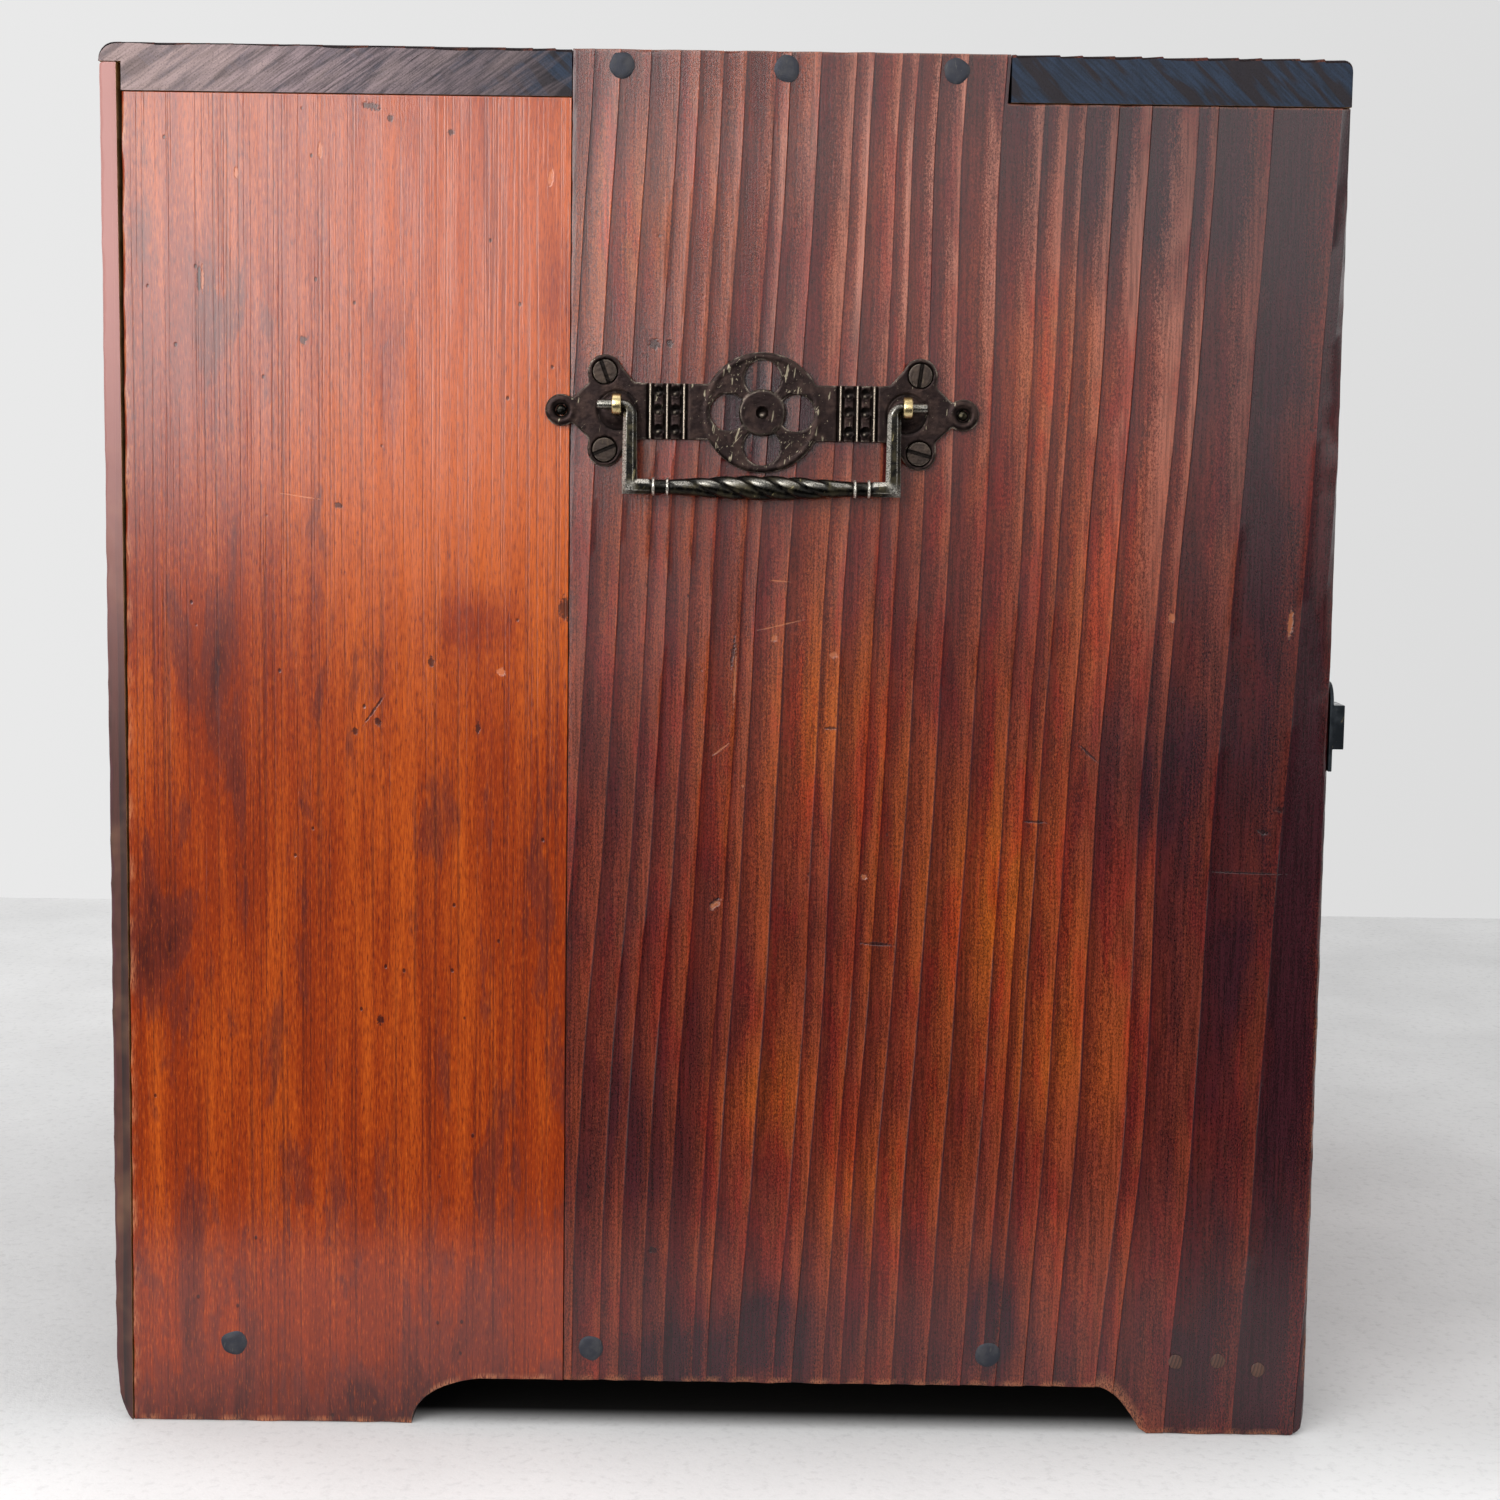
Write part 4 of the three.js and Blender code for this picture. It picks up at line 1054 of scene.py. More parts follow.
@dataclass(frozen=True)
class Sides:
    """The four side boards: cut to feet below, the front board rising into the top's finger joint.

    Attributes:
        arch: Height of the cut between the feet.
        front_foot: Length of the front foot.
        rear_foot: Length of the rear foot.
        foot_curve: Length of the rear foot's curve up to the arch.
        foot_slope: Length of the front foot's slope up to it.
        corner: Radius of the side's lower front corner.
        tab_end: End of the front board's tab, from the side's rear edge.
        worn_edge: Radius of the worn edges.
        row_spacing: Distance between rows of the grid.
    """

    arch: float = 15.5
    front_foot: float = 54.0
    rear_foot: float = 92.5
    foot_curve: float = 25.0
    foot_slope: float = 15.0
    corner: float = 5.5
    tab_end: float = 281.85
    worn_edge: float = 0.9
    row_spacing: float = 4.0

    def build(self) -> None:
        """Makes both boards of both sides."""
        front, inner, edge = (finish.material() for finish in (SIDE_GRAIN, INNER_WOOD, DARK_EDGE))
        rear = REAR_WOOD.material()
        for hand in ("left", "right"):
            self.front_board(hand, front, inner, edge)
            self.rear_board(hand, rear, inner, edge)

    @staticmethod
    def seat(hand: str) -> Seat:
        """Turns a distance from the rear edge, a height and a depth from the outer face into X, Y, Z."""
        outer, rear = outer_face(hand)
        return lambda u, z, depth: np.stack([outer - math.copysign(1, outer) * depth, rear - u, z], -1)

    def front_board(self, hand: str, *finishes: Material) -> None:
        """The front board: its grid follows the rings, its foot is a function and its tab a mask."""
        name = f"side_{hand}_front_board"
        low, high = box_of(name)
        rear_high = box_of(f"side_{hand}_rear_board")[1]
        first, last = rear_high[1] - high[1], rear_high[1] - low[1]
        shoulder = rear_high[2]
        foot = last - self.front_foot
        rings = SIDE_PATTERN.rings

        def bottom(u: Array) -> Array:
            slope = np.clip((foot - u) / self.foot_slope, 0, 1)
            toe = np.clip(u - (last - self.corner), 0, self.corner)
            rise = self.corner - np.sqrt(self.corner ** 2 - toe ** 2)
            return self.arch * (1 - (1 - slope) ** 1.8) + rise

        corner_s = self.tab_end - float(rings.shift(np.array(self.tab_end), np.array(shoulder)))
        s = lines(rings.columns(first, last, 26.0), np.arange(foot - 18, foot + 3, 1.2),
                  np.arange(last - 1, last + 13, 0.9), first + np.arange(-12, 1, 2.0), [corner_s])
        corner_at = int(np.searchsorted(s, corner_s))
        main = row_shares(shoulder, self.row_spacing)
        above = np.array([1.5, 4.0, 7.5, 11.0, 13.2, 14.4, 15.0, 15.3])
        S, T = np.meshgrid(s, np.concatenate([main, np.ones(len(above))]))
        lift = np.concatenate([np.zeros(len(main)), above])[:, None]
        z = T * shoulder
        for _ in range(4):
            u = np.clip(S + rings.shift(S, z), first, last)
            z = bottom(u) + T * (shoulder - bottom(u)) + lift
        tab_rows = len(main)
        u[tab_rows:] = np.minimum(u[tab_rows:], self.tab_end)
        keep = np.ones((len(u) - 1, len(s) - 1), bool)
        keep[tab_rows - 1:, corner_at:] = False
        clamped = (u <= first) | (u >= last)
        share, band, width = rings.share(np.where(clamped, u - rings.shift(u, z), S))
        amount = rings.relief * (0.55 + 0.6 * band) * (1 + 0.25 * ripple(u, z, 70, 5))
        amount = amount * np.clip(width / 9, 0.4, 1.1)
        wear = np.maximum(self.worn_edge * (1 + 0.7 * ripple(u, z, 14, 7)), 0.2)
        top = np.where(u <= self.tab_end, shoulder + above[-1], shoulder)
        over = z - bottom(u)
        depth = amount * (1 - share ** 1.4) + eased(u - first, 0.15) + eased(last - u, wear + 0.8)
        depth = depth + eased(over, wear) + eased(top - z, wear * 0.6)
        rubbed = smooth_step(u - last, -1.2, -0.3) * smooth_step(z, 200, 150)
        bare = np.maximum(smooth_step(over, 2.6, 0.5), rubbed) * smooth_step(ripple(u, z, 9, 17), -0.5, 0.5)
        sloped = smooth_step(np.abs(u - foot + self.foot_slope / 2), 11, 6) * smooth_step(over, 6, 1)
        frayed = np.maximum(np.maximum(bare, 0.9 * sloped), 0.45 * smooth_step(z - top, -1.0, -0.3))
        marks = {"ring": share, "band": band, "frayed": frayed,
                 "tone": swells(SIDE_PATTERN.front_tones, u, z),
                 "aged": swells(SIDE_PATTERN.front_aged, u, z)}
        inner = np.full(u.shape, high[0] - low[0])
        Piece(name, "case", "front_wood", (name,)).make(
            slab(u, z, depth, inner, self.seat(hand), keep, marks), *finishes)

    def rear_board(self, hand: str, *finishes: Material) -> None:
        """The rear board: an even grid over its outline, its foot's curve a quarter ellipse."""
        name = f"side_{hand}_rear_board"
        low, high = box_of(name)
        thickness, width, height = high - low
        foot = self.rear_foot

        def bottom(u: Array) -> Array:
            t = np.clip((foot + self.foot_curve - u) / self.foot_curve, 0, 1)
            return self.arch * np.sqrt(np.maximum(1 - t ** 2, 0)) * (u > foot)

        edge = np.array([0.0, 0.25, 0.6, 1.1, 1.8])
        curve = foot + self.foot_curve * (1 - np.cos(np.linspace(0, math.pi / 2, 12)))
        columns = even(3, width - 3, 46, edge, curve, width - edge * 0.3, [foot - 0.02])
        u, t = np.meshgrid(np.unique(np.round(columns, 3)), row_shares(height, self.row_spacing))
        z = bottom(u) + t * (height - bottom(u))
        over = z - bottom(u)
        wear = np.maximum(self.worn_edge * (1 + 0.7 * ripple(u, z, 16, 9)), 0.2)
        depth = eased(u, wear) + eased(width - u, 0.15) + eased(over, wear) + eased(height - z, 0.3)
        depth = depth + 0.035 * (1 + ripple(u, z / 6, 9, 3)) + 0.05 * (1 + ripple(u, z, 90, 4))
        frayed = smooth_step(np.minimum(u, over), 2.6, 0.4) * smooth_step(ripple(u, z, 11, 19), -0.4, 0.6)
        marks = {"frayed": frayed, "tone": swells(SIDE_PATTERN.rear_tones, u, z),
                 "aged": swells(SIDE_PATTERN.rear_aged, u, z)}
        Piece(name, "case", "rear_wood", (name,)).make(
            slab(u, z, depth, np.full(u.shape, thickness), self.seat(hand), None, marks), *finishes)


@dataclass(frozen=True)
class Top:
    """The top board, its end grain showing as tabs, rounded at the front and lipped over the back boards.

    Attributes:
        rear_round: Radius of the rear edge.
        front_round: Radius of the front edge.
        end_round: Radius of the ends.
        lip: Thickness over the back boards.
        notches: Start and end of the notches for the sides' tabs, from the sides' rear edge.
        spacing: Distance between the grid's columns.
    """

    rear_round: float = 5.0
    front_round: float = 3.0
    end_round: float = 0.8
    lip: float = 6.0
    notches: tuple[float, float] = (142.85, 282.15)
    spacing: float = 6.0

    def build(self) -> None:
        """A slab over X and Y whose rings run along X; the notches for the tabs are cells left out."""
        low, high = box_of("top_board")
        case_rear = outer_face("left")[1]
        notch_x = -box_of("side_left_front_board")[1][0] - 0.3
        notch_rear, notch_front = (case_rear - at for at in self.notches)
        span = high[1] - low[1]
        rings = Rings(0.0, uneven_widths(11, span + 40, 6, 15), relief=0.4, seed=3)
        across = rings.columns(0.0, span, 0.0)
        edge = np.array([0.0, 0.15, 0.5, 1.0, 1.7, 2.6, 3.8, 5.2])
        fixed = high[1] - np.array([notch_front, notch_rear, case_rear + 0.01, case_rear - 0.01])
        s = lines(across[(across > 6) & (across < span - 6)], edge, span - edge, fixed)
        ends = np.array([0.0, 0.15, 0.4, 0.8, 1.4])
        margin = np.linspace(notch_x + 4, high[0] - 3, 3)
        x = even(-notch_x, notch_x, int(2 * notch_x / self.spacing), margin, -margin,
                 high[0] - ends, low[0] + ends)
        X, S = np.meshgrid(x, s)
        straight = smooth_step(notch_x - np.abs(X), 0, 30) * smooth_step(np.minimum(S, span - S), 6, 20)
        near = np.min([np.abs(S - f) for f in fixed], axis=0)
        moved = S + 2.5 * straight * smooth_step(near, 0, 12) * ripple(X, S * 0.2, 160, 21)
        y = high[1] - moved
        share, band, _ = rings.share(S)
        rough = smooth_step(moved, 120, 160)
        wear = np.maximum(1 + 0.6 * ripple(X, y, 18, 31), 0.25)
        outside = np.minimum(high[0] - np.abs(X), 50.0)
        depth = (0.08 + 0.4 * rough) * (0.5 + 0.6 * band) * (1 - share ** 1.4)
        depth = depth + eased(moved, self.rear_round) + eased(span - moved, self.front_round)
        depth = depth + eased(outside, self.end_round * wear)
        inner = np.where(y > case_rear, self.lip, high[2] - low[2])
        centre_x, centre_y = (X[1:, 1:] + X[:-1, :-1]) / 2, (y[1:, 1:] + y[:-1, :-1]) / 2
        notch = (np.abs(centre_x) > notch_x) & (centre_y > notch_front) & (centre_y < notch_rear)
        tone = 0.5 * ripple(X, y, 200, 41) * rough - 0.2 - 1.5 * smooth_step(outside, 4, 1)
        shape = slab(X, y, depth, inner, lambda a, b, d: np.stack([a, b, high[2] - d], -1), ~notch,
                     {"ring": share, "band": band, "tone": tone})
        Piece("top_board", "case", "slate_wood", ("top_board",)).make(
            shape, TOP_GRAIN.material(), INNER_WOOD.material(), TOP_END.material())


@dataclass(frozen=True)
class Backs:
    """The two thin back boards: bowed off the case at the top and planed round to the floor."""

    toe: float = 26.0
    bow: float = 1.3
    thickness: float = 5.5

    def build(self) -> None:
        """Makes both boards."""
        finishes = [finish.material() for finish in (BACK_WOOD, INNER_WOOD, BACK_EDGE)]
        for hand in ("left", "right"):
            self.board(f"back_board_{hand}", finishes)

    def bowed(self, z: Array | float, height: float) -> Array:
        """How far the boards stand off the case: it grows with the square of the height over the toe."""
        return self.bow * (np.clip(z - self.toe, 0, None) / (height - self.toe)) ** 2

    def board(self, name: str, finishes: list[Material]) -> None:
        """A slab over X and Z whose toe is a quarter ellipse."""
        low, high = box_of(name)
        height = high[2]
        ends = np.array([0.0, 0.2, 0.6, 1.2])
        toe = self.toe * (1 - np.cos(np.linspace(0, math.pi / 2, 10)))
        X, Z = np.meshgrid(even(low[0] + 3, high[0] - 3, 40, low[0] + ends, high[0] - ends),
                           even(self.toe, height, 90, toe, height - ends))
        t = np.clip(Z / self.toe, 0, 1)
        body = self.thickness * np.sqrt(1 - (1 - t) ** 2)
        wear = np.maximum(0.9 + 0.9 * ripple(X, Z, 13, 51), 0.15)
        outside = np.minimum(X - low[0], high[0] - X)
        ring = 0.05 * (1 + ripple(X, Z / 7, 7, 53))
        depth = np.minimum(eased(outside, wear) + eased(height - Z, 0.8) + ring, body * 0.8)
        inner = low[1] + self.bowed(Z, height)
        shape = slab(X, Z, inner + body - depth, inner, lambda a, b, d: np.stack([a, d, b], -1))
        Piece(name, "case", "back_wood", (name,)).make(shape, *finishes)


def block_piece(node: str, body: str, slot: str, *finishes: Material) -> None:
    """A plain board as a rounded block over its node; faces that look to the front take the second finish."""
    shape = rounded_block(*box_of(node), BLOCK_EDGE).facing_out()
    if len(finishes) > 1:
        shape.kinds = (shape.normals()[:, 1] < -0.2).astype(int)
    Piece(node, body, slot, (node,)).make(shape, *finishes)


def make_inner_boards() -> None:
    """Makes the sill, bottom, shelves and divider between the sides."""
    inner, edge = INNER_WOOD.material(), STAINED_EDGE.material()
    block_piece("front_sill", "case", "front_wood", edge)
    block_piece("middle_divider", "case", "front_wood", inner, edge)
    block_piece("bottom_board", "case", "inner_wood", inner)
    for name in ("lower_shelf", "upper_shelf", "small_drawer_shelf"):
        block_piece(name, "case", "inner_wood", inner, edge)


class Facing(Enum):
    """The face of the chest that a fitting is fastened to, as the cosine and sine of its turn about Z."""

    LEFT = (0, -1)
    RIGHT = (0, 1)
    FRONT = (1, 0)
    REAR = (-1, 0)

    def seat(self, x: float, y: float, z: float) -> Place:
        """Turns a fitting's own places into the chest's.

        Args:
            x: Place of the fitting's origin.
            y: Place of the fitting's origin.
            z: Place of the fitting's origin.

        Returns:
            A function of points whose first value runs to the right, second into the wood and third up,
            as someone facing the fitting sees them.
        """
        cosine, sine = self.value

        def place(points: Array) -> Array:
            across, inward, up = np.moveaxis(points, -1, 0)
            moved = [x + cosine * across - sine * inward, y + sine * across + cosine * inward, z + up]
            return np.stack(moved, -1)

        return place

    def on_side(self, from_rear: float, z: float) -> Place:
        """The same for a place on the left or right side, given from its rear edge and the floor."""
        face, rear = outer_face(self.name.lower())
        return self.seat(face, rear - from_rear, z)


def disc(x: Array, z: Array, at_x: float, at_z: float, radius: float) -> Array:
    """Signed distance to a circle: the distance to its centre less its radius."""
    return np.hypot(x - at_x, z - at_z) - radius


def rectangle(x: Array, z: Array, half_x: float, half_z: float, corner: float = 0.0) -> Array:
    """Signed distance to a rectangle with round corners."""
    dx, dz = np.abs(x) - half_x + corner, np.abs(z) - half_z + corner
    return np.hypot(np.maximum(dx, 0), np.maximum(dz, 0)) + np.minimum(np.maximum(dx, dz), 0) - corner


def half_planes(x: Array, z: Array, corners: list[tuple[float, float]]) -> Array:
    """Signed distance to a convex outline given anticlockwise: the largest distance past an edge's line."""
    found = []
    for (x0, z0), (x1, z1) in zip(corners, corners[1:] + corners[:1]):
        length = math.hypot(x1 - x0, z1 - z0)
        found.append(((x - x0) * (z1 - z0) - (z - z0) * (x1 - x0)) / length)
    return np.maximum.reduce(found)


def merged(first: Array, second: Array, soft: float) -> Array:
    """The union of two outlines whose inner corner is filled round: the polynomial smooth minimum."""
    share = np.clip(0.5 + 0.5 * (second - first) / soft, 0, 1)
    return second + (first - second) * share - soft * share * (1 - share)


def cut_plate(outline: Callable[[Array, Array], Array], across: Array, up: Array,
              face: Seat, back: float, place: Place, edge: float = 0.3,
              marks: Callable[[Array, Array, Array], dict[str, Array]] | None = None) -> Shape:
    """A flat fitting cut to an outline: grid points at the border slide down the distance to its zero line.

    Args:
        outline: Signed distance at each place, negative inside.
        across: Grid lines along the fitting.
        up: Grid lines up it.
        face: Depth of its face from the places and their distance inside the outline.
        back: Depth of its back.
        place: Where it is fastened.
        edge: Radius of the worn edge.
        marks: Values at each place, given as the face is; without them only the edge is worn.

    Returns:
        The closed shape.
    """
    x, z = np.meshgrid(across, up)
    keep = outline((x[1:, 1:] + x[:-1, :-1]) / 2, (z[1:, 1:] + z[:-1, :-1]) / 2) < 0
    padded = np.pad(keep, 1)
    around = np.stack([padded[:-1, :-1], padded[1:, :-1], padded[:-1, 1:], padded[1:, 1:]])
    border = around.any(0) & ~around.all(0)
    small = 0.02
    for _ in range(4):
        d = outline(x, z)
        slope_x = (outline(x + small, z) - outline(x - small, z)) / (2 * small)
        slope_z = (outline(x, z + small) - outline(x, z - small)) / (2 * small)
        steep = np.maximum(slope_x ** 2 + slope_z ** 2, 0.2)
        x = np.where(border, x - d * slope_x / steep, x)
        z = np.where(border, z - d * slope_z / steep, z)
    inside = np.maximum(-outline(x, z), 0)
    inside[border] = 0
    outer = face(x, z, inside) + eased(inside, edge)
    found = marks(x, z, inside) if marks else {"worn": 0.5 * smooth_step(inside, 0.5, 0.05)}
    return slab(x, z, outer, np.full(x.shape, back), lambda a, b, d: place(np.stack([a, d, b], -1)),
                keep, found)


@dataclass(frozen=True)
class BailSizes:
    """A bail and the eyes that it swings in; the places are measured from the middle of its plate."""

    eye_reach: float
    eye_rise: float
    eye_radius: float
    eye_width: float
    neck: float
    standoff: float
    pin: float
    pin_end: float
    leg_reach: float
    bar: float
    bevel: float
    drop: float
    grip_half: float
    grip_radius: float
    grip_end: float
    collars: tuple[float, ...] = ()
    ridges: int = 0
    turns: float = 0.0
    groove: float = 0.0


HANDLE = BailSizes(
    eye_reach=46.3, eye_rise=2.0, eye_radius=3.5, eye_width=3.0, neck=1.6, standoff=7.2, pin=1.5,
    pin_end=52.6, leg_reach=42.0, bar=4.8, bevel=1.2, drop=25.9, grip_half=29.2, grip_radius=4.0,
    grip_end=2.4, collars=(29.9, 34.4), ridges=3, turns=2.3, groove=0.3)
PULL = BailSizes(
    eye_reach=27.0, eye_rise=0.0, eye_radius=3.2, eye_width=2.7, neck=1.6, standoff=6.6, pin=1.3,
    pin_end=31.5, leg_reach=23.2, bar=3.8, bevel=0.9, drop=20.0, grip_half=18.0, grip_radius=3.0,
    grip_end=1.9)
# Across a collar: place from its middle, radius over the bar's half width, wear, and painted shade with grime
# in the creases at its ends.
COLLAR = ((-0.88, 0.95, 0, 1), (-0.6, 0.97, 0, 0.9), (-0.48, 1.12, 0.6, 0), (-0.24, 1.22, 0.9, 0),
          (0.24, 1.22, 0.9, 0), (0.48, 1.12, 0.6, 0), (0.6, 0.97, 0, 0.9), (0.88, 0.95, 0, 1))


@dataclass(frozen=True)
class Bail:
    """A bent bar with two pins, square legs, mitred lower corners and a swelling grip."""

    sizes: BailSizes
    bend: float = 2.6
    steps: int = 8

    def angles(self) -> Array:
        """Angles round the section, as many steps to each face of a bevelled square."""
        corner = math.atan2(self.sizes.bar / 2 - self.sizes.bevel, self.sizes.bar / 2)
        turns = np.arange(4)[:, None] * math.pi / 2
        edges = np.sort((turns + np.array([-corner, corner])).ravel())
        edges = np.append(edges, edges[0] + 2 * math.pi)
        faces = [np.linspace(a, b, self.steps, endpoint=False) for a, b in zip(edges[:-1], edges[1:])]
        return np.concatenate(faces)

    def path(self) -> Array:
        """Half of the middle line, from the grip's middle to the pin's end.

        Returns:
            Rows of x, z, the lean of the section's in-plane direction from upright, its stretch at a mitre,
            its half width, how square it is, how worn and how dark with painted shade and grime.
        """
        s = self.sizes
        low, high, half, upright = s.eye_rise - s.drop, s.eye_rise, s.bar / 2, math.pi / 2
        shoulder = high - self.bend
        rows = []

        def add(x: float, z: float, width: float, square: float, lean: float = 0.0, stretch: float = 1.0,
                worn: float = 0.0, hollow: float = 0.0) -> None:
            rows.append((x, z, lean, stretch, width, square, worn, hollow))

        for x in np.arange(0, s.grip_half, 0.4):
            swell = math.cos(math.pi * x / (2 * s.grip_half)) ** 2
            add(x, low, s.grip_end + (s.grip_radius - s.grip_end) * swell ** 0.6, 0.0)
        for at, (step, radius, worn, hollow) in itertools.product(s.collars, COLLAR):
            add(at + step, low, radius * half, 0.12, worn=worn, hollow=hollow)
        if s.collars:
            add(s.collars[-1] + 1.6, low, half, 0.85)
        else:
            add(s.grip_half + 0.4, low, half * 0.92, 0.6)
        add(s.leg_reach - half, low, half, 1.0)
        add(s.leg_reach, low, half, 1.0, upright / 2, math.sqrt(2), 0.3)
        add(s.leg_reach, low + half, half, 1.0, upright)
        add(s.leg_reach, shoulder - 3.2, half * 0.9, 1.0, upright)
        add(s.leg_reach, shoulder, half * 0.88, 0.9, upright)
        for turn in np.linspace(0, upright, 9)[1:]:
            share = turn / upright
            x, z = s.leg_reach + self.bend * (1 - math.cos(turn)), shoulder + self.bend * math.sin(turn)
            add(x, z, half * 0.88 + (s.pin - half * 0.88) * share ** 0.7, 0.9 * (1 - share), upright - turn)
        for back, shrink in ((0.5, 1.0), (0.15, 0.9), (0.0, 0.7), (0.0, 0.0)):
            add(s.pin_end - back, high, s.pin * shrink, 0.0, worn=0.25)
        return np.array(rows)

    def shape(self, place: Place) -> Shape:
        """The section carried along the path: reach = width times (1, or the bevelled square's edge)."""
        s = self.sizes
        half = self.path()
        other = half[:0:-1].copy()
        other[:, [0, 2]] *= -1
        rows = np.concatenate([other, half])
        angle = self.angles()
        x, z, lean, stretch, width, square, worn, hollow = rows.T[:, :, None]
        bevel = s.bevel / (s.bar / 2)
        c, n = np.abs(np.cos(angle)), np.abs(np.sin(angle))
        edge = 1 / np.maximum(np.maximum(c, n), (c + n) / (2 - bevel))
        reach = width * (1 + square * (edge - 1))
        corner = (np.arange(len(angle)) % self.steps == 0) * 1.0
        # Painted highlight, carried in the worn mark, on the facets turned towards the key light.
        facing_light = 0.7 * (np.sin(lean) + np.cos(lean)) * np.cos(angle) + 0.7 * np.sin(angle)
        rubbed = 0.7 * smooth_step(facing_light, 0.9, 0.97) * (np.sin(angle) > 0.1)
        worn = np.maximum(worn + 0 * angle, square * np.maximum(0.25 * corner, rubbed))
        hollow = hollow + 0 * angle
        if s.ridges:
            swell = np.cos(np.clip(math.pi * x / (2 * s.grip_half), -math.pi / 2, math.pi / 2)) ** 2
            wind = s.ridges * angle - math.pi * s.turns * s.ridges * x / s.grip_half
            valley = np.abs(np.sin(wind / 2)) ** 0.5
            deep = np.minimum(swell * 2.6, 1) * (1 - valley)
            reach = reach * (1 - s.groove * deep)
            # Painted shade with grime in the grip's grooves.
            hollow = np.maximum(hollow, smooth_step(deep, 0.25, 0.6))
            # Painted highlight along the upper side of each strand of the grip.
            crest_highlight = peak(angle, 1.05, 0.22) * smooth_step(valley, 0.55, 0.85)
            worn = np.maximum(worn, 0.42 * crest_highlight * (1 - square))
        inward, out = reach * np.cos(angle), reach * np.sin(angle)
        across = -np.sin(lean) * inward * stretch
        up = np.cos(lean) * inward * stretch
        points = np.stack([x + across, -s.standoff - out, z + up], -1)
        return Shape.grid(points, {"worn": worn, "hollow": hollow}).placed(place)

    def eye(self, at: float, place: Place, root: float) -> Shape:
        """A ring whose section is a rounded oblong, and a neck from it to the wood."""
        s = self.sizes
        hole = s.pin + 0.4
        turn = np.linspace(0, 2 * math.pi, 20, endpoint=False)
        middle, half = (s.eye_radius + hole) / 2, (s.eye_radius - hole) / 2
        soft = 0.45
        radius = middle + half * np.sign(np.cos(turn)) * np.abs(np.cos(turn)) ** soft
        wide = at + s.eye_width / 2 * np.sign(np.sin(turn)) * np.abs(np.sin(turn)) ** soft
        angle = np.linspace(0, 2 * math.pi, 40, endpoint=False)[:, None]
        y, z = -s.standoff + radius * np.cos(angle), s.eye_rise + radius * np.sin(angle)
        ring = np.stack([wide + 0 * angle, y, z], -1)
        start = -s.standoff + middle
        profile = [(0, start), (s.neck, start), (s.neck, (start + root) / 2), (s.neck * 1.3, root), (0, root)]
        neck = turned(profile, 20).placed(
            lambda p: np.stack([at + p[:, 0], p[:, 2], s.eye_rise + p[:, 1]], -1))
        closed = Shape.grid(np.concatenate([ring, ring[:1]]))
        return closed.facing_out().joined(neck.facing_out()).placed(place)


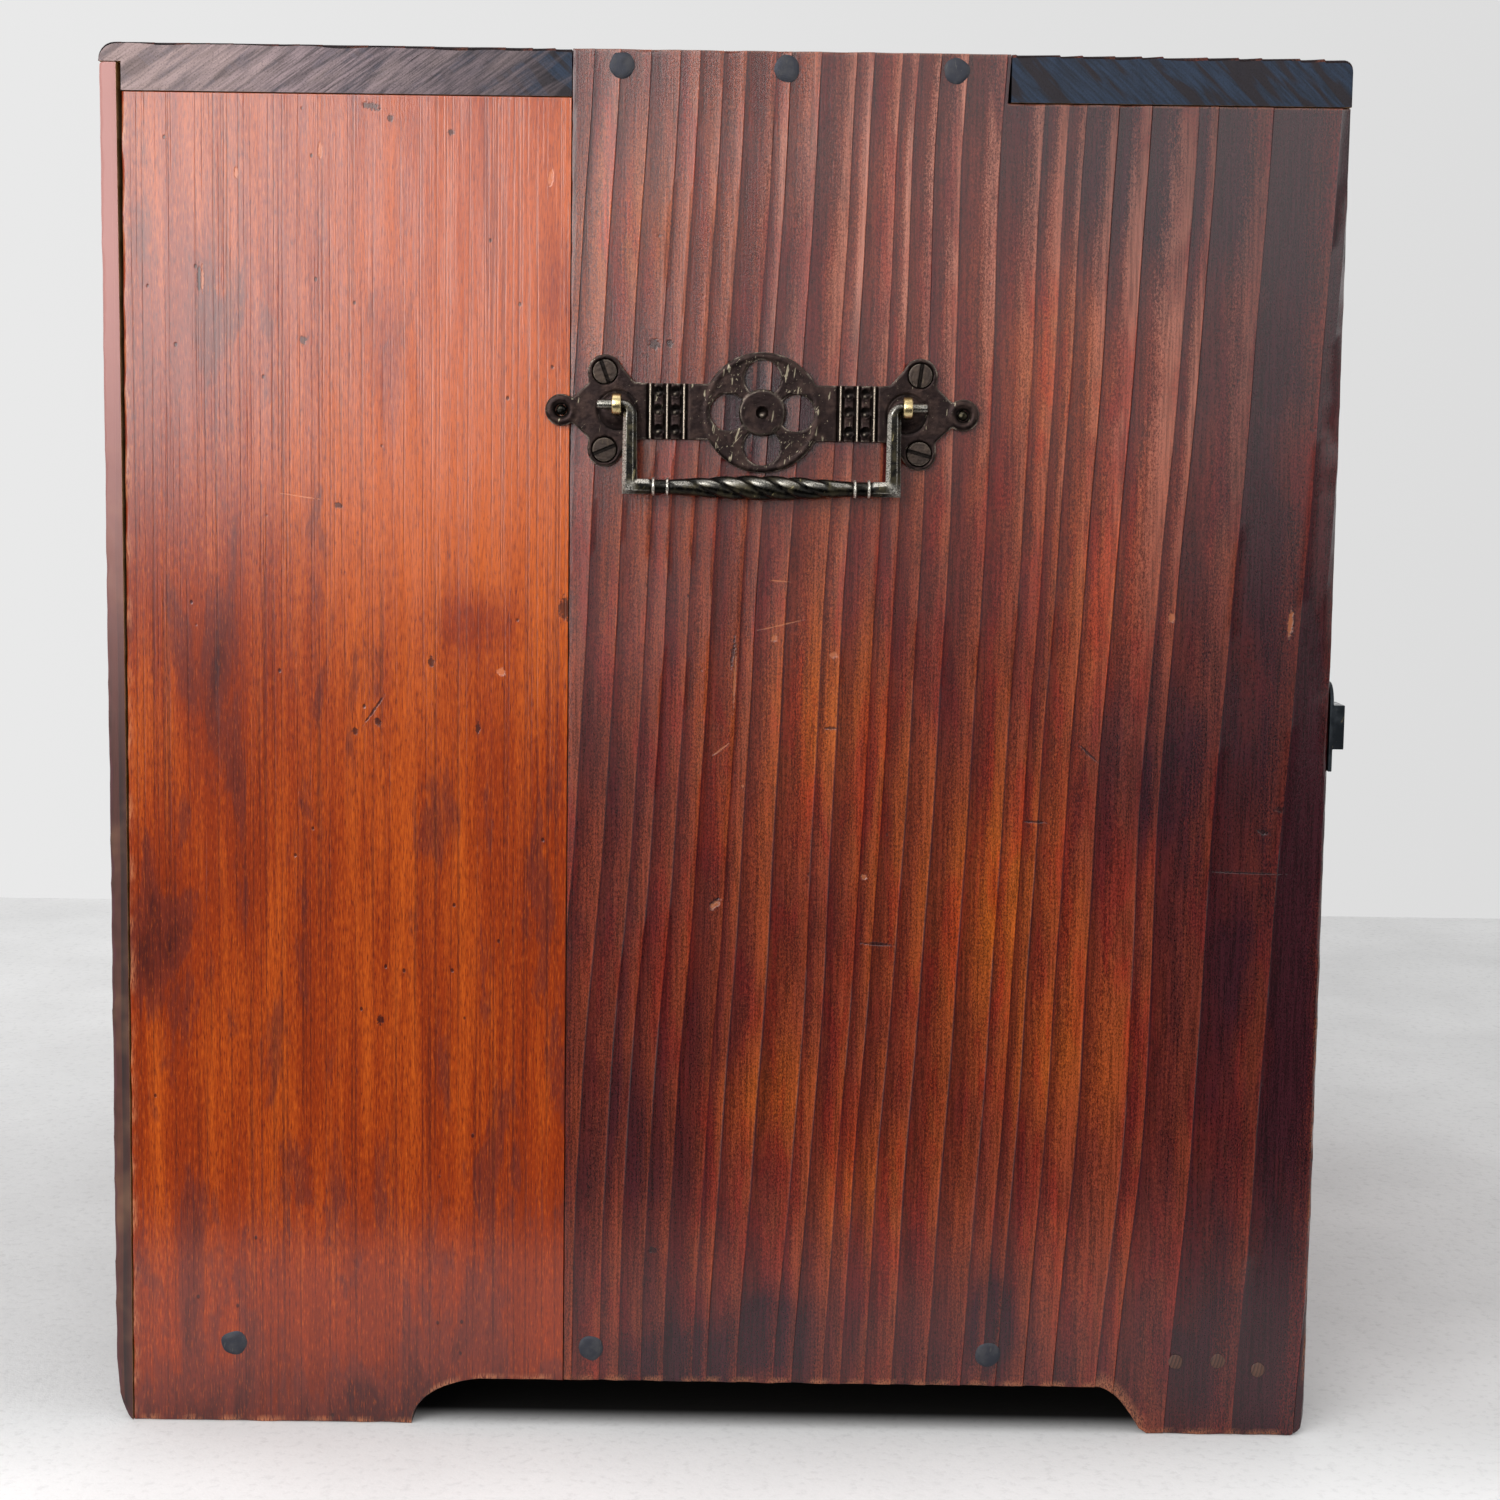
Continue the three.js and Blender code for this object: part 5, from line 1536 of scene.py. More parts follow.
@dataclass(frozen=True)
class HandlePlate:
    """The carrying handle's plate, pierced with four petals and held by four slotted screws."""

    thickness: float = 2.0
    back: float = -0.3
    bar: float = 8.9
    disc: float = 19.2
    petal: float = 5.9
    petal_reach: float = 10.9
    hub: float = 7.5
    crown: float = 7.1
    pit: float = 1.9
    lobe: tuple[float, float] = (64.3, 5.1)
    lobe_hole: float = 1.9
    screw_reach: float = 50.4
    screw_rise: float = 12.4
    screw_lobe: float = 5.4
    screw: float = 3.8
    ridges: tuple[float, ...] = (25.0, 30.4, 35.8)
    dimple_columns: tuple[float, ...] = (27.75, 33.1)
    dimple_rows: tuple[float, ...] = (6.3, 0.5, -5.8)
    dimple: float = 1.7
    boss: float = 5.8
    slot_half: float = 0.55
    slot_depth: float = 0.75
    step: float = 0.36

    def outline(self, x: Array, z: Array) -> Array:
        """Bar, disc, lobes and shoulders joined, less the petals and the end holes."""
        ax, az = np.abs(x), np.abs(z)
        out, inner = self.screw_reach + self.screw_lobe, self.screw_reach - self.screw_lobe
        neck = self.lobe[0] - self.lobe[1] / 2
        cheek = half_planes(ax, az, [(inner - 6, -1), (neck, -1), (neck, 3.0), (out - 0.3, 8.8),
                                     (inner - 6, 8.8)])
        ear = half_planes(ax, az, [(inner - 6, 5.5), (out - 0.3, 5.5), (out - 0.1, self.screw_rise),
                                   (inner + 2.4, self.screw_rise + 4.2), (inner - 4.4, self.bar)])
        shape = merged(cheek, ear, 0.4)
        for other, soft in ((disc(ax, az, self.screw_reach, self.screw_rise, self.screw_lobe), 0.5),
                            (rectangle(x, z, self.screw_reach, self.bar), 0.8),
                            (disc(ax, z, self.lobe[0], 0, self.lobe[1]), 0.9),
                            (disc(x, z, 0, 0, self.disc), 0.7)):
            shape = merged(shape, other, soft)
        petals = np.minimum(disc(ax, z, self.petal_reach, 0, self.petal),
                            disc(x, az, 0, self.petal_reach, self.petal))
        petals = np.maximum(petals, -disc(x, z, 0, 0, self.hub))
        return np.maximum.reduce([shape, -petals, -disc(ax, z, self.lobe[0], 0, self.lobe_hole)])

    def rise(self, x: Array, z: Array) -> Array:
        """Height of the face over the plate: ridges, punched dimples, hub, bosses, lobes and screw seats."""
        ax, az, middle = np.abs(x), np.abs(z), np.hypot(x, z)
        total = 0.035 * ripple(x, z, 7, 61) + 0.02 * ripple(x, z, 2.2, 62)
        on_bar = az < self.bar + 0.3
        for at in self.ridges:
            near = np.abs(ax - at)
            total = total + on_bar * (0.7 * peak(near, 0, 0.42, 4) - 0.4 * peak(near, 0.95, 0.35))
        for at, row in itertools.product(self.dimple_columns, self.dimple_rows):
            r = np.hypot(ax - at, z - row) / self.dimple
            total = total - 1.1 * np.clip(1 - r ** 2, 0, 1) ** 0.8 + 0.12 * peak(r, 1.12, 0.14)
        total = total + 0.3 * smooth_step(middle, self.crown + 0.5, self.crown - 0.3)
        total = total + 0.18 * peak(middle, self.disc - 1.3, 0.8)
        total = total - 1.7 * np.clip(1 - (middle / self.pit) ** 2, 0, 1) ** 0.5
        dome = np.hypot(ax - HANDLE.eye_reach, z) / self.boss
        total = total + 1.6 * np.sqrt(np.clip(1 - dome ** 2, 0, 1)) - 0.2 * peak(dome, 1.08, 0.06)
        end = np.hypot(ax - self.lobe[0], z)
        total = total + 0.3 * peak(end, 3.6, 1.0) - 0.5 * smooth_step(end, 2.9, 2.0)
        seat = np.hypot(ax - self.screw_reach, az - self.screw_rise)
        return total - 0.6 * smooth_step(seat, self.screw + 0.45, self.screw + 0.1)

    def marks(self, x: Array, z: Array, inside: Array) -> dict[str, Array]:
        """Rubbed metal with painted highlights on the edges, ridges and rims, painted glints in the pits,
        painted shade with grime in pits and beside ridges, scuffed on the disc.
        """
        ax, az, middle = np.abs(x), np.abs(z), np.hypot(x, z)
        on_bar = (az < self.bar + 0.3) * 1.0
        beside = [np.abs(ax - at) for at in self.ridges]
        dimples = itertools.product(self.dimple_columns, self.dimple_rows, (-1, 1))
        punched = [(x - side * at, z - row) for at, row, side in dimples]
        seat = np.hypot(ax - self.screw_reach, az - self.screw_rise) - self.screw
        # Painted shade with grime in the hub pit, round the bosses, in the lobe holes, round the screw seats,
        # beside the ridges and in the dimples.
        hollow = np.maximum.reduce([
            0.8 * np.clip(1 - (middle / self.pit) ** 4, 0, 1),
            0.8 * peak(np.hypot(ax - HANDLE.eye_reach, z) / self.boss, 1.08, 0.07),
            0.8 * smooth_step(np.hypot(ax - self.lobe[0], z), 2.9, 2.0),
            peak(seat, 0.15, 0.35),
            *(on_bar * peak(near, 0.95, 0.32) for near in beside),
            *(np.clip(1 - (np.hypot(a, b) / self.dimple) ** 6, 0, 1) for a, b in punched),
        ])
        worn = (1 - hollow) * np.maximum.reduce([
            smooth_step(inside, 0.45, 0.05) * (0.12 + 0.45 * smooth_step(ripple(x, z, 8, 63), 0.1, 0.7)),
            0.12 * peak(middle, self.crown, 0.35),
            *(0.85 * on_bar * peak(near, 0, 0.3, 4) for near in beside),
        ])
        # Painted glints, carried in the worn mark: one in the hub pit and one low on the wall of each dimple.
        glint = np.maximum.reduce([
            peak(np.hypot(x + 0.2, z + 0.8), 0, 0.5),
            *(peak(np.hypot(a + 0.35, b + 0.75), 0, 0.34) for a, b in punched),
        ])
        scuffed = smooth_step(np.abs(middle - 13.5), 7, 3)
        return {"worn": np.maximum(worn, glint), "hollow": hollow * (1 - glint), "scuffed": scuffed}

    def shape(self, place: Place) -> Shape:
        """The plate over a fine grid, finer beside its ridges."""
        reach, top = self.lobe[0] + self.lobe[1] + 1, self.disc + 1
        ridges = np.array(self.ridges)
        close = np.array([0, 0.2, 0.4, 0.6, 0.95, 1.3])
        beside = (ridges[:, None] + np.concatenate([-close, close])).ravel()
        across = np.arange(-reach, reach + self.step, self.step)
        across = across[np.min(np.abs(np.abs(across)[:, None] - ridges), axis=1) > 1.4]
        across = np.unique(np.round(np.concatenate([across, beside, -beside]), 3))
        up = np.arange(-top, top + self.step, self.step)
        return cut_plate(self.outline, across, up, lambda x, z, d: self.face - self.rise(x, z), self.back,
                         place, 0.35, self.marks)

    @property
    def face(self) -> float:
        """Depth of the plate's plain face."""
        return self.back - self.thickness

    def screw_shape(self, side: int, above: int, turn: float, place: Place) -> Shape:
        """A slotted head: flat with a worn edge, its slot's sides on grid lines and turned with it."""
        half, depth = self.slot_half, self.slot_depth
        rows = np.arange(-self.screw - 0.2, self.screw + 0.2, 0.19)
        rows = rows[np.abs(np.abs(rows) - half) > 0.12]
        columns = lines(rows, [-half - 0.03, -half, half, half + 0.03])
        c, n = math.cos(math.radians(turn)), math.sin(math.radians(turn))

        def turned_place(p: Array) -> Array:
            x, y, z = np.moveaxis(p, -1, 0)
            moved = [side * self.screw_reach + c * x + n * z, y, above * self.screw_rise - n * x + c * z]
            return place(np.stack(moved, -1))

        def face(x: Array, z: Array, d: Array) -> Array:
            crown = 0.12 * (1 - (np.hypot(x, z) / self.screw) ** 2)
            crown = crown + 0.05 * ripple(x, z, 1.6, 70 + side + 2 * above)
            return self.face - 0.42 - crown + np.where(np.abs(x) <= half + 0.001, depth, 0.0)

        def marks(x: Array, z: Array, d: Array) -> dict[str, Array]:
            # The slot is darkened with painted shade and grime.
            slot = (np.abs(x) <= half + 0.04) * 1.0
            return {"hollow": slot, "worn": 0.6 * smooth_step(d, 0.4, 0.05) * (1 - slot)}

        def outline(x: Array, z: Array) -> Array:
            return disc(x, z, 0, 0, self.screw)

        return cut_plate(outline, columns, rows, face, self.face + 0.9, turned_place, 0.3, marks)


@dataclass(frozen=True)
class CarryingHandles:
    """Both carrying handles, each with its plate, screws, brads, eyes and bail.

    Attributes:
        from_rear: Middle of the plate, from the side's rear edge.
        height: Height of its middle.
        turns: Turn of each screw's slot, in degrees.
        far_turn: Further turn of each on the far side, times the screw's number.
    """

    from_rear: float = 204.6
    height: float = 336.3
    turns: tuple[float, ...] = (-20.0, 67.0, 8.0, -75.0)
    far_turn: float = 31.0

    def build(self) -> None:
        """Makes the handle of each side."""
        plate_iron, bail_iron, screw_iron, brass = (
            finish.material() for finish in (PLATE_IRON, BAIL_IRON, SCREW_IRON, EYE_BRASS))
        plate, bail = HandlePlate(), Bail(HANDLE)
        for facing, sign in ((Facing.LEFT, -1), (Facing.RIGHT, 1)):
            name = f"handle_{facing.name.lower()}"
            place = facing.on_side(self.from_rear, self.height)
            Piece(f"{name}_plate", "case", "iron", (f"{name}_plate",)).make(plate.shape(place), plate_iron)
            corners = itertools.product((-1, 1), (1, -1))
            for number, ((side, above), turn) in enumerate(zip(corners, self.turns), 1):
                further = self.far_turn * number if facing is Facing.RIGHT else 0
                head = plate.screw_shape(side, above, turn + further, place)
                Piece(f"{name}_screw_{number}", "case", "iron").make(head, screw_iron)
            for letter, side in (("a", -1), ("b", 1)):
                eye = bail.eye(side * HANDLE.eye_reach, place, plate.face)
                Piece(f"{name}_eye_{letter}", "case", "brass", (f"{name}_eye_{letter}",)).make(eye, brass)
                brad = nail_head(1.7, 0.9, 80 + side + sign, 0.5, place, (side * plate.lobe[0], -0.9, 0))
                Piece(f"{name}_brad_{letter}", "case", "iron").make(brad, bail_iron)
            swinging = f"{name}_bail"
            Piece(swinging, swinging, "iron", (swinging,)).make(bail.shape(place), bail_iron)


def nail_head(radius: float, rise: float, seed: int, sunk: float, place: Place,
              at: Triple = (0, 0, 0)) -> Shape:
    """A hammered head on rings and spokes: its edge wanders, its face falls off like 1 - r^5 and is dented.

    Args:
        radius: Radius of the head.
        rise: How far it stands proud.
        seed: Seed of its dents.
        sunk: How deep it goes into the wood.
        place: The fitting that it belongs to.
        at: Its place on that fitting.

    Returns:
        The closed shape.
    """
    angle = np.linspace(0, 2 * math.pi, 28, endpoint=False)
    share = np.array([0.0, 0.25, 0.5, 0.7, 0.84, 0.93, 0.98, 1.0])[:, None]
    edge = radius * (1 + 0.07 * ripple(np.cos(angle), np.sin(angle), 1.4, seed))
    x, z = share * edge * np.cos(angle), share * edge * np.sin(angle)
    y = -rise * (1 - share ** 5) - 0.12 * rise * ripple(x, z, radius * 0.9, seed + 1) * (share < 0.95)
    face = np.stack([x, y, z], -1)
    face[0] = face[0].mean(0)
    wall = np.stack([x[-1], 0 * angle + sunk, z[-1]], -1)[None]
    centre = np.array([0.0, sunk, 0.0]) + 0 * wall
    return Shape.grid(np.concatenate([face, wall, centre])).placed(lambda p: place(p + np.array(at)))


@dataclass(frozen=True)
class Fasteners:
    """Nails and pegs whose heads show on the case: places are distance from the rear edge and height.

    Attributes:
        top_nails: Nails through the finger joint.
        bottom_nails: Nails into the bottom board.
        pegs: Ends of the pegs that hold the sill.
        back_nails: Heights of the nails along both edges of each back board.
        nail: Radius of a nail's head.
        peg: Radius of a peg.
        margins: Distance of the back nails from a board's outer and inner edge.
    """

    top_nails: tuple[tuple[float, float], ...] = ((158.6, 444.9), (210.8, 444.4), (264.6, 444.5))
    bottom_nails: tuple[tuple[float, float], ...] = ((33.7, 26.9), (152.1, 26.9), (284.1, 26.4))
    pegs: tuple[tuple[float, float], ...] = ((346.6, 24.9), (360.6, 25.4), (374.0, 22.6))
    back_nails: tuple[float, ...] = (40.0, 150.0, 265.0, 380.0)
    nail: float = 4.1
    peg: float = 2.4
    margins: tuple[float, float] = (8.0, 12.0)

    def build(self) -> None:
        """Makes the heads on both sides and along the back."""
        iron, wood = NAIL_IRON.material(), PEG_WOOD.material()
        for facing, sign in ((Facing.LEFT, -1), (Facing.RIGHT, 1)):
            hand = facing.name.lower()
            for kind, slot, places, radius, rise, seed, finish in (
                    ("top_nail", "iron", self.top_nails, self.nail, 0.35, 105, iron),
                    ("bottom_nail", "iron", self.bottom_nails, self.nail, 0.35, 100, iron),
                    ("sill_peg", "inner_wood", self.pegs, self.peg, 0.2, 200, wood)):
                for number, at in enumerate(places, 1):
                    step = number if kind == "sill_peg" else 10 * number
                    head = nail_head(radius, rise, seed + step + sign, 0.8, facing.on_side(*at))
                    Piece(f"{kind}_{hand}_{number}", "case", slot).make(head, finish)
        self.nail_back("left", -1, iron)
        self.nail_back("right", 1, iron)

    def nail_back(self, hand: str, sign: int, iron: Material) -> None:
        """Makes the heads along the outer and the inner edge of a back board."""
        backs = Backs()
        low, high = box_of(f"back_board_{hand}")
        outer, inner = (low[0], high[0]) if sign < 0 else (high[0], low[0])
        for number, z in enumerate(self.back_nails, 1):
            y = low[1] + backs.thickness + backs.bowed(z, high[2])
            for edge, x in (("outer", outer - sign * self.margins[0]),
                            ("inner", inner + sign * self.margins[1])):
                head = nail_head(2.2, 0.3, 300 + number, 0.8, Facing.REAR.seat(x, y, z))
                Piece(f"back_nail_{hand}_{edge}_{number}", "case", "iron").make(head, iron)


@dataclass(frozen=True)
class FrontBoard:
    """A drawer front or part of the door: raised grain outside and a lap cut round its back."""

    node: str
    body: str
    grain: Axis
    seed: int
    lap: float = 0.0
    wall: float = 0.0
    floor: float = 0.0
    relief: float = 0.35

    def make(self, *finishes: Material) -> None:
        """A slab over X and Z whose grid follows its rings."""
        low, high = box_of(self.node)
        width, depth, height = high - low
        level = self.grain is Axis.X
        length, breadth = (width, height) if level else (height, width)
        widths = uneven_widths(self.seed, breadth + 30, 4.5, 12)
        rings = Rings(0.0, widths, lean=0.02, relief=self.relief, seed=self.seed)
        ends = np.array([0.0, 0.15, 0.4, 0.8, 1.4])
        step = np.array([-0.01, 0.01])
        steps = np.concatenate([self.wall + step, length - self.wall + step]) if self.wall else []
        rebate = self.floor + step if self.floor else []
        s = rings.columns(0, breadth, 0)
        s = lines(s[(s > 1.6) & (s < breadth - 1.6)], ends, breadth - ends, rebate)
        L, S = np.meshgrid(even(2, length - 2, int(length / 5), ends, length - ends, steps), s)
        near = np.minimum(S, breadth - S)
        if self.floor:
            near = np.minimum(near, np.abs(S - self.floor))
        bent = 0.02 * (L - length / 2) + 1.6 * ripple(L, S * 0.3, 110, self.seed)
        moved = S + smooth_step(near, 0, 8) * bent
        share, band, _ = rings.share(S)
        wear = np.maximum(0.8 + 0.5 * ripple(L, moved, 20, self.seed + 2), 0.25)
        out = rings.relief * (0.5 + 0.6 * band) * (1 - share ** 1.4) + eased(moved, wear)
        out = out + eased(breadth - moved, wear) + eased(np.minimum(L, length - L), wear)
        beside = (L < self.wall) | (L > length - self.wall) | (moved < self.floor)
        inner = np.where(beside & (self.lap > 0), self.lap, depth)
        marks = {"ring": share, "band": band, "tone": 0.55 * ripple(L, moved, 120, self.seed + 5) - 0.1}

        def place(a: Array, b: Array, d: Array) -> Array:
            x, z = (a, b) if level else (b, a)
            return low + np.stack([x, d, z], -1)

        shape = slab(L, moved, out, inner, place, None, marks)
        Piece(self.node, self.body, "front_wood", (self.node,)).make(shape, *finishes)


@dataclass(frozen=True)
class Pulls:
    """A plain bail on a round-ended plate, held by four small nails.

    Attributes:
        thickness: Thickness of the plate.
        back: Depth of its back, a little into the wood.
        height: Height of the plate.
        end: How far it reaches past the eyes.
        step: Distance between grid lines.
        nails: The outer nails' distance from the plate's ends and the inner nails' from its middle.
    """

    thickness: float = 1.5
    back: float = -0.3
    height: float = 15.0
    end: float = 9.0
    step: float = 0.45
    nails: tuple[float, float] = (3.6, 9.0)

    def build(self, name: str, iron: Material, bail_iron: Material) -> None:
        """Makes the plate with its eyes, the nails and the bail of one drawer."""
        low, high = box_of(f"{name}_front")
        place = Facing.FRONT.seat((low[0] + high[0]) / 2, low[1], (low[2] + high[2]) / 2)
        reach, half = PULL.eye_reach + self.end, self.height / 2
        across, up = (np.arange(-size - 0.6, size + 0.6, self.step) for size in (reach, half))

        def outline(x: Array, z: Array) -> Array:
            return rectangle(x, z, reach, half, half)

        def face(x: Array, z: Array, d: Array) -> Array:
            return self.back - self.thickness - 0.03 * ripple(x, z, 6, 91) - 0.25 * smooth_step(d, 1.0, 1.6)

        bail = Bail(PULL)
        eyes = [bail.eye(side * PULL.eye_reach, place, self.back - self.thickness / 2) for side in (-1, 1)]
        plate = cut_plate(outline, across, up, face, self.back, place).facing_out().joined(*eyes)
        Piece(f"{name}_pull_plate", name, "iron", (f"{name}_pull_plate",)).make(plate, iron)
        swinging = f"{name}_pull_bail"
        Piece(swinging, swinging, "iron", (swinging,)).make(bail.shape(place), bail_iron)
        outer, inner = reach - self.nails[0], self.nails[1]
        for number, x in enumerate((-outer, -inner, inner, outer), 1):
            head = nail_head(1.3, 0.45, 400 + number, 0.6, place, (x, self.back - self.thickness - 0.2, 0))
            Piece(f"{name}_plate_nail_{number}", name, "iron").make(head, iron)


def worn_copy(node: str, body: str, finish: Material, edge: float) -> None:
    """A copy of a CAD node in its place: points merged, flat faces made whole and sharp edges rounded off.

    Args:
        node: The CAD node.
        body: The body that it rides on.
        finish: Its material.
        edge: Reach of the rounding, in millimetres.
    """
    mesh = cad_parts[node].data.copy()
    work = bmesh.new()
    work.from_mesh(mesh)
    bmesh.ops.remove_doubles(work, verts=work.verts, dist=WELD * MM)
    bmesh.ops.dissolve_limit(work, angle_limit=math.radians(1), verts=work.verts, edges=work.edges)
    work.to_mesh(mesh)
    work.free()
    mesh.materials.clear()
    mesh.materials.append(finish)
    smooth_with_edges(mesh)
    made = put_in_scene(node, mesh)
    rounding = made.modifiers.new("worn_edges", "BEVEL")
    rounding.width = edge * MM
    rounding.segments = 3
    rounding.limit_method = "ANGLE"
    rounding.angle_limit = SHARP_ANGLE
    rounding.harden_normals = True
    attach(made, body)
    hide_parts(node)
    log.info("%s: worn copy on %s", node, body)


@dataclass(frozen=True)
class Front:
    """The door and the drawers.

    Attributes:
        wall: How far a drawer front laps over the drawer's walls.
        floor: How far it laps over its bottom.
        lap: Thickness of the lap.
        hinge_edge: Reach of the rounding of the door's iron.
        keeper_edge: Reach of the rounding of the latch's keeper, which is thicker.
    """

    wall: float = 8.3
    floor: float = 5.3
    lap: float = 7.0
    hinge_edge: float = 0.35
    keeper_edge: float = 0.7

    def build(self) -> None:
        """Makes the door's boards and iron, and each drawer's boards and pull."""
        level, inner, edge, upright, deep, iron, bail_iron = (finish.material() for finish in (
            FRONT_GRAIN, INNER_WOOD, STAINED_EDGE, DOOR_GRAIN, INNER_WOOD_DEEP, BLACK_IRON, BAIL_IRON))
        FrontBoard("door_panel", "door", Axis.Z, 501).make(upright, inner, edge)
        FrontBoard("door_lower_batten", "door", Axis.X, 502).make(level, inner, edge)
        FrontBoard("door_upper_batten", "door", Axis.X, 503).make(level, inner, edge)
        drawers = ("top_drawer", "bottom_drawer", "upper_small_drawer", "lower_small_drawer")
        woods = {"left_wall": deep, "right_wall": deep, "back": inner, "bottom": inner}
        for seed, name in enumerate(drawers, 510):
            front = FrontBoard(f"{name}_front", name, Axis.X, seed, self.lap, self.wall, self.floor)
            front.make(level, inner, edge)
            for part, wood in woods.items():
                block_piece(f"{name}_{part}", name, "inner_wood", wood)
            Pulls().build(name, iron, bail_iron)
        worn_copy("latch_keeper", "case", iron, self.keeper_edge)
        worn_copy("latch_guide", "door", iron, self.hinge_edge)
        worn_copy("latch_bolt", "latch_bolt", iron, self.hinge_edge)
        leaves = (("door", "door"), ("post", "case"))
        for place, (leaf, body) in itertools.product(("upper", "lower"), leaves):
            worn_copy(f"{place}_hinge_{leaf}_leaf", body, iron, self.hinge_edge)


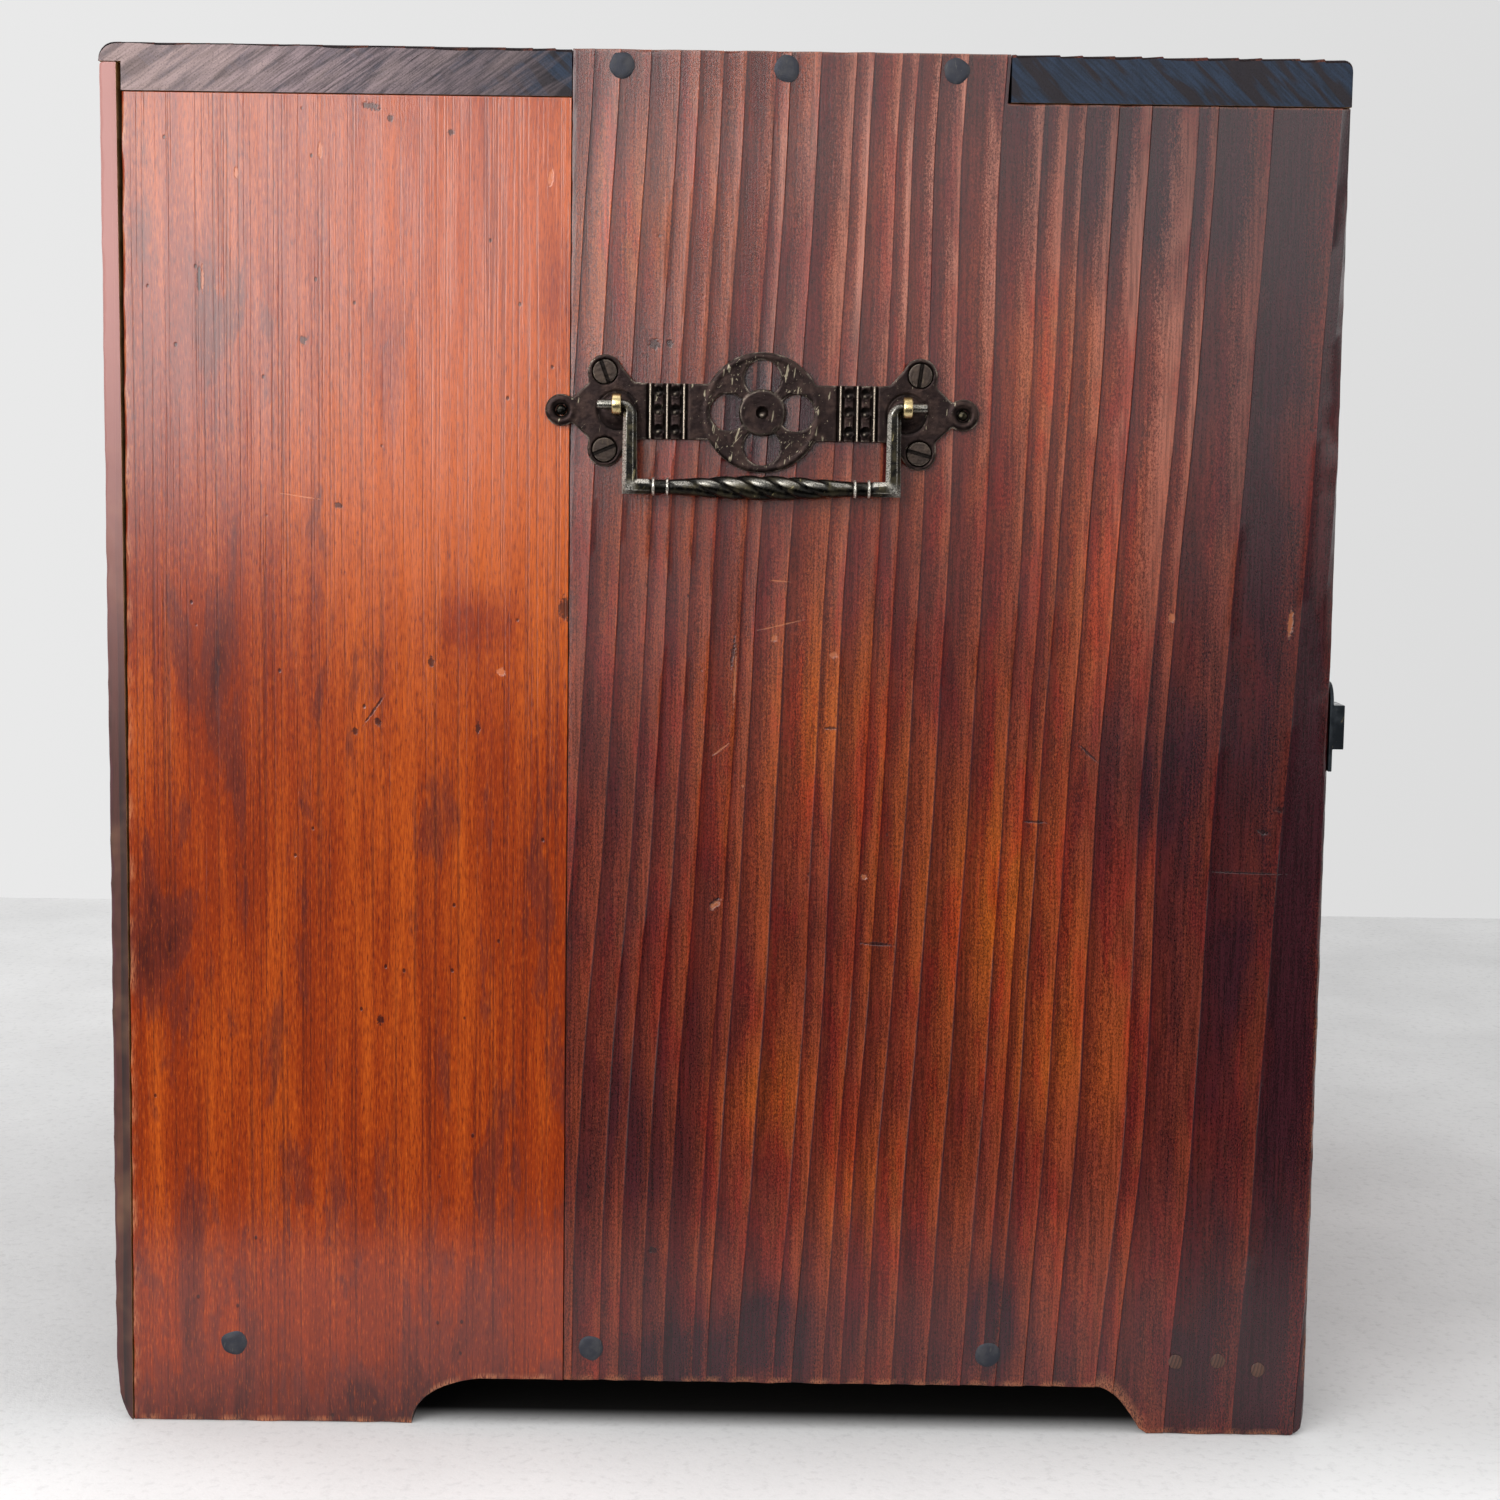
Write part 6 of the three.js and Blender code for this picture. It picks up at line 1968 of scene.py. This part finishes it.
@dataclass(frozen=True)
class Studio:
    """The pale floor, the soft lamps and the camera.

    Attributes:
        lens: Focal length for a frame 36 wide.
        distance: From the side's face to the camera.
        along: Place of the camera, from the side's rear edge.
        height: Height of the camera.
        pitch: Downward tilt, in radians.
        roll: Turn about the line of sight, in radians.
        table_near: X of the floor's edge on the photographed side.
        table_far: X of its other edge.
        table_half: Half its length along Y.
        card_at: X of the dark card.
        card_half: Half its length along Y.
        card_low: Its lower edge.
        card_high: Its upper edge at the front and at the rear of the chest.
    """

    lens: float = 67.2
    distance: float = 903.9
    along: float = 202.24
    height: float = 325.45
    pitch: float = 0.10789
    roll: float = -0.014177
    table_far: float = 819.0
    table_near: float = -455.0
    table_half: float = 1600.0
    card_at: float = -2100.0
    card_half: float = 2600.0
    card_low: float = -1600.0
    card_high: tuple[float, float] = (466.0, 50.0)

    def build(self) -> None:
        """Sets the view, the world, the floor, the lamps and the camera."""
        bpy.context.scene.view_settings.view_transform = "Standard"
        self.camera()
        self.world()
        self.floor()
        self.flag()
        self.lamp("key", (-2400, 1240, 1110), (-240, 0, 300), (1900, 1800), 6.5)
        self.lamp("fill", (-2300, -900, 1050), (-240, 0, 260), (1900, 1500), 1.4)
        self.lamp("overhead", (0, 0, 2400), (0, 0, 0), (2200, 2200), 1.2)
        self.lamp("front_fill", (300, -2600, 1100), (0, -190, 230), (1900, 1600), 1.6)
        self.lamp("rear_fill", (1500, 2300, 1200), (0, 190, 230), (1900, 1600), 1.4)
        self.lamp("far_fill", (2600, -300, 1200), (240, 0, 230), (1900, 1600), 1.6)

    def camera(self) -> None:
        """The photographed view, turned from its pitch and roll."""
        face, rear = outer_face("left")
        data = bpy.data.cameras.new("camera")
        data.lens, data.sensor_width, data.clip_start, data.clip_end = self.lens, 36.0, 0.01, 60.0
        forward = np.array([math.cos(self.pitch), 0, -math.sin(self.pitch)])
        level_up = np.array([math.sin(self.pitch), 0, math.cos(self.pitch)])
        level_right = np.array([0.0, -1.0, 0.0])
        right = math.cos(self.roll) * level_right - math.sin(self.roll) * level_up
        up = math.sin(self.roll) * level_right + math.cos(self.roll) * level_up
        place = scaled((face - self.distance, rear - self.along, self.height))
        camera = put_in_scene("camera", data)
        rows = np.column_stack([right, up, -forward, place]).tolist()
        camera.matrix_world = Matrix([*rows, [0.0, 0.0, 0.0, 1.0]])
        bpy.context.scene.camera = camera

    @staticmethod
    def world() -> None:
        """A dim even light, seen by the camera and in reflections as a pale wall."""
        world = bpy.data.worlds.new("studio")
        bpy.context.scene.world = world
        bench = Bench(world)
        across = bench.parts(bench.coordinates("Generated"))[1]
        tone = bench.mix(bench.span(across, -0.25, 0.25, kind="LINEAR"), paint("dddddd"), paint("e9e9e9"))
        light = bench.fed("ShaderNodeBackground", {"Color": (1.0, 1.0, 1.0, 1.0), "Strength": 0.3})
        wall = bench.fed("ShaderNodeBackground", {"Color": tone})
        shown = bench.fed("ShaderNodeMixShader", {0: bench.seen(), 1: light, 2: wall})
        bench.put(bench.add("ShaderNodeOutputWorld").inputs[0], shown)

    def floor(self) -> None:
        """A pale plastered floor that ends where the photographed one meets its wall, with a painted shadow
        under the chest.

        The camera sees it lifted by a share of its own light, which leaves the shadow on it.
        """
        bench = Bench(bpy.data.materials.new("floor"))
        cloud = bench.noise((140, 140, 140), 5.0, 0.62)
        grit = bench.noise((4, 4, 4), 4.0, 0.7)
        x, y, _ = bench.parts(bench.coordinates("Object"))
        # Painted shadow: near black on the floor under the chest, fading out just inside its sides; the lift
        # below leaves it out.
        beside = bench.span(bench.math("ABSOLUTE", x), 0.222, 0.243, 1.0, 0.0)
        under = 0.995 * beside * bench.span(bench.math("ABSOLUTE", y), 0.175, 0.197, 1.0, 0.0)
        colour = bench.coated(
            bench.ramp(cloud, {0.3: "cfcfcf", 0.7: "dedede"}),
            (bench.span(grit, 0.5, 0.3, 0.0, 0.3), "a8a8a8"), (under, "0a0908"))
        lift = bench.span(y, -0.9, 0.5, 0.0, 0.1) + bench.span(x, -0.33, -0.2, 0.26, 0.0)
        finish = bench.finish(colour, 0.8, grit + cloud, 0.5, 0.4, specular=0.1, glow=paint("f4f4f4"),
                              glow_strength=lift * (1.0 - under) * bench.seen())
        near, far, half = self.table_near, self.table_far, self.table_half
        self.sheet("floor", [(near, -half, 0), (far, -half, 0), (far, half, 0), (near, half, 0)], finish)

    def flag(self) -> None:
        """A dark card behind the camera, seen only in reflections, which keeps the side's lacquer deep."""
        x, half, low, (front, rear) = self.card_at, self.card_half, self.card_low, self.card_high
        finish = Bench(bpy.data.materials.new("flag")).finish(paint("1c1a19"), 0.9)
        corners = [(x, -half, low), (x, half, low), (x, half, rear), (x, -half, front)]
        card = self.sheet("flag", corners, finish)
        card.visible_camera = card.visible_diffuse = card.visible_shadow = False

    @staticmethod
    def sheet(name: str, corners: list[Triple], finish: Material) -> bpy.types.Object:
        """A flat part of the stage."""
        mesh = bpy.data.meshes.new(name)
        mesh.from_pydata([scaled(corner) for corner in corners], [], [(0, 1, 2, 3)])
        mesh.materials.append(finish)
        made = put_in_scene(name, mesh)
        return made

    @staticmethod
    def lamp(name: str, at: Triple, target: Triple, size: tuple[float, float], radiance: float) -> None:
        """A soft box of a given brightness that faces a target.

        Args:
            name: Name of the lamp.
            at: Its centre.
            target: The point that it faces.
            size: Its width and height.
            radiance: Its brightness, where 1 is white.
        """
        data = bpy.data.lights.new(name, "AREA")
        data.shape = "RECTANGLE"
        data.size, data.size_y = size[0] * MM, size[1] * MM
        data.energy = radiance * math.pi * data.size * data.size_y
        lamp = put_in_scene(name, data)
        lamp.location = scaled(at)
        lamp.rotation_mode = "QUATERNION"
        lamp.rotation_quaternion = (Vector(scaled(target)) - lamp.location).to_track_quat("-Z", "Y")


def main() -> None:
    """Builds the chest piece by piece, then the stage and the camera."""
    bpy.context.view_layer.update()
    Sides().build()
    Top().build()
    Backs().build()
    make_inner_boards()
    Fasteners().build()
    CarryingHandles().build()
    Front().build()
    Studio().build()
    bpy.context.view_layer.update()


if __name__ == "__main__":
    logging.basicConfig(level=logging.INFO, format="%(message)s")
    main()
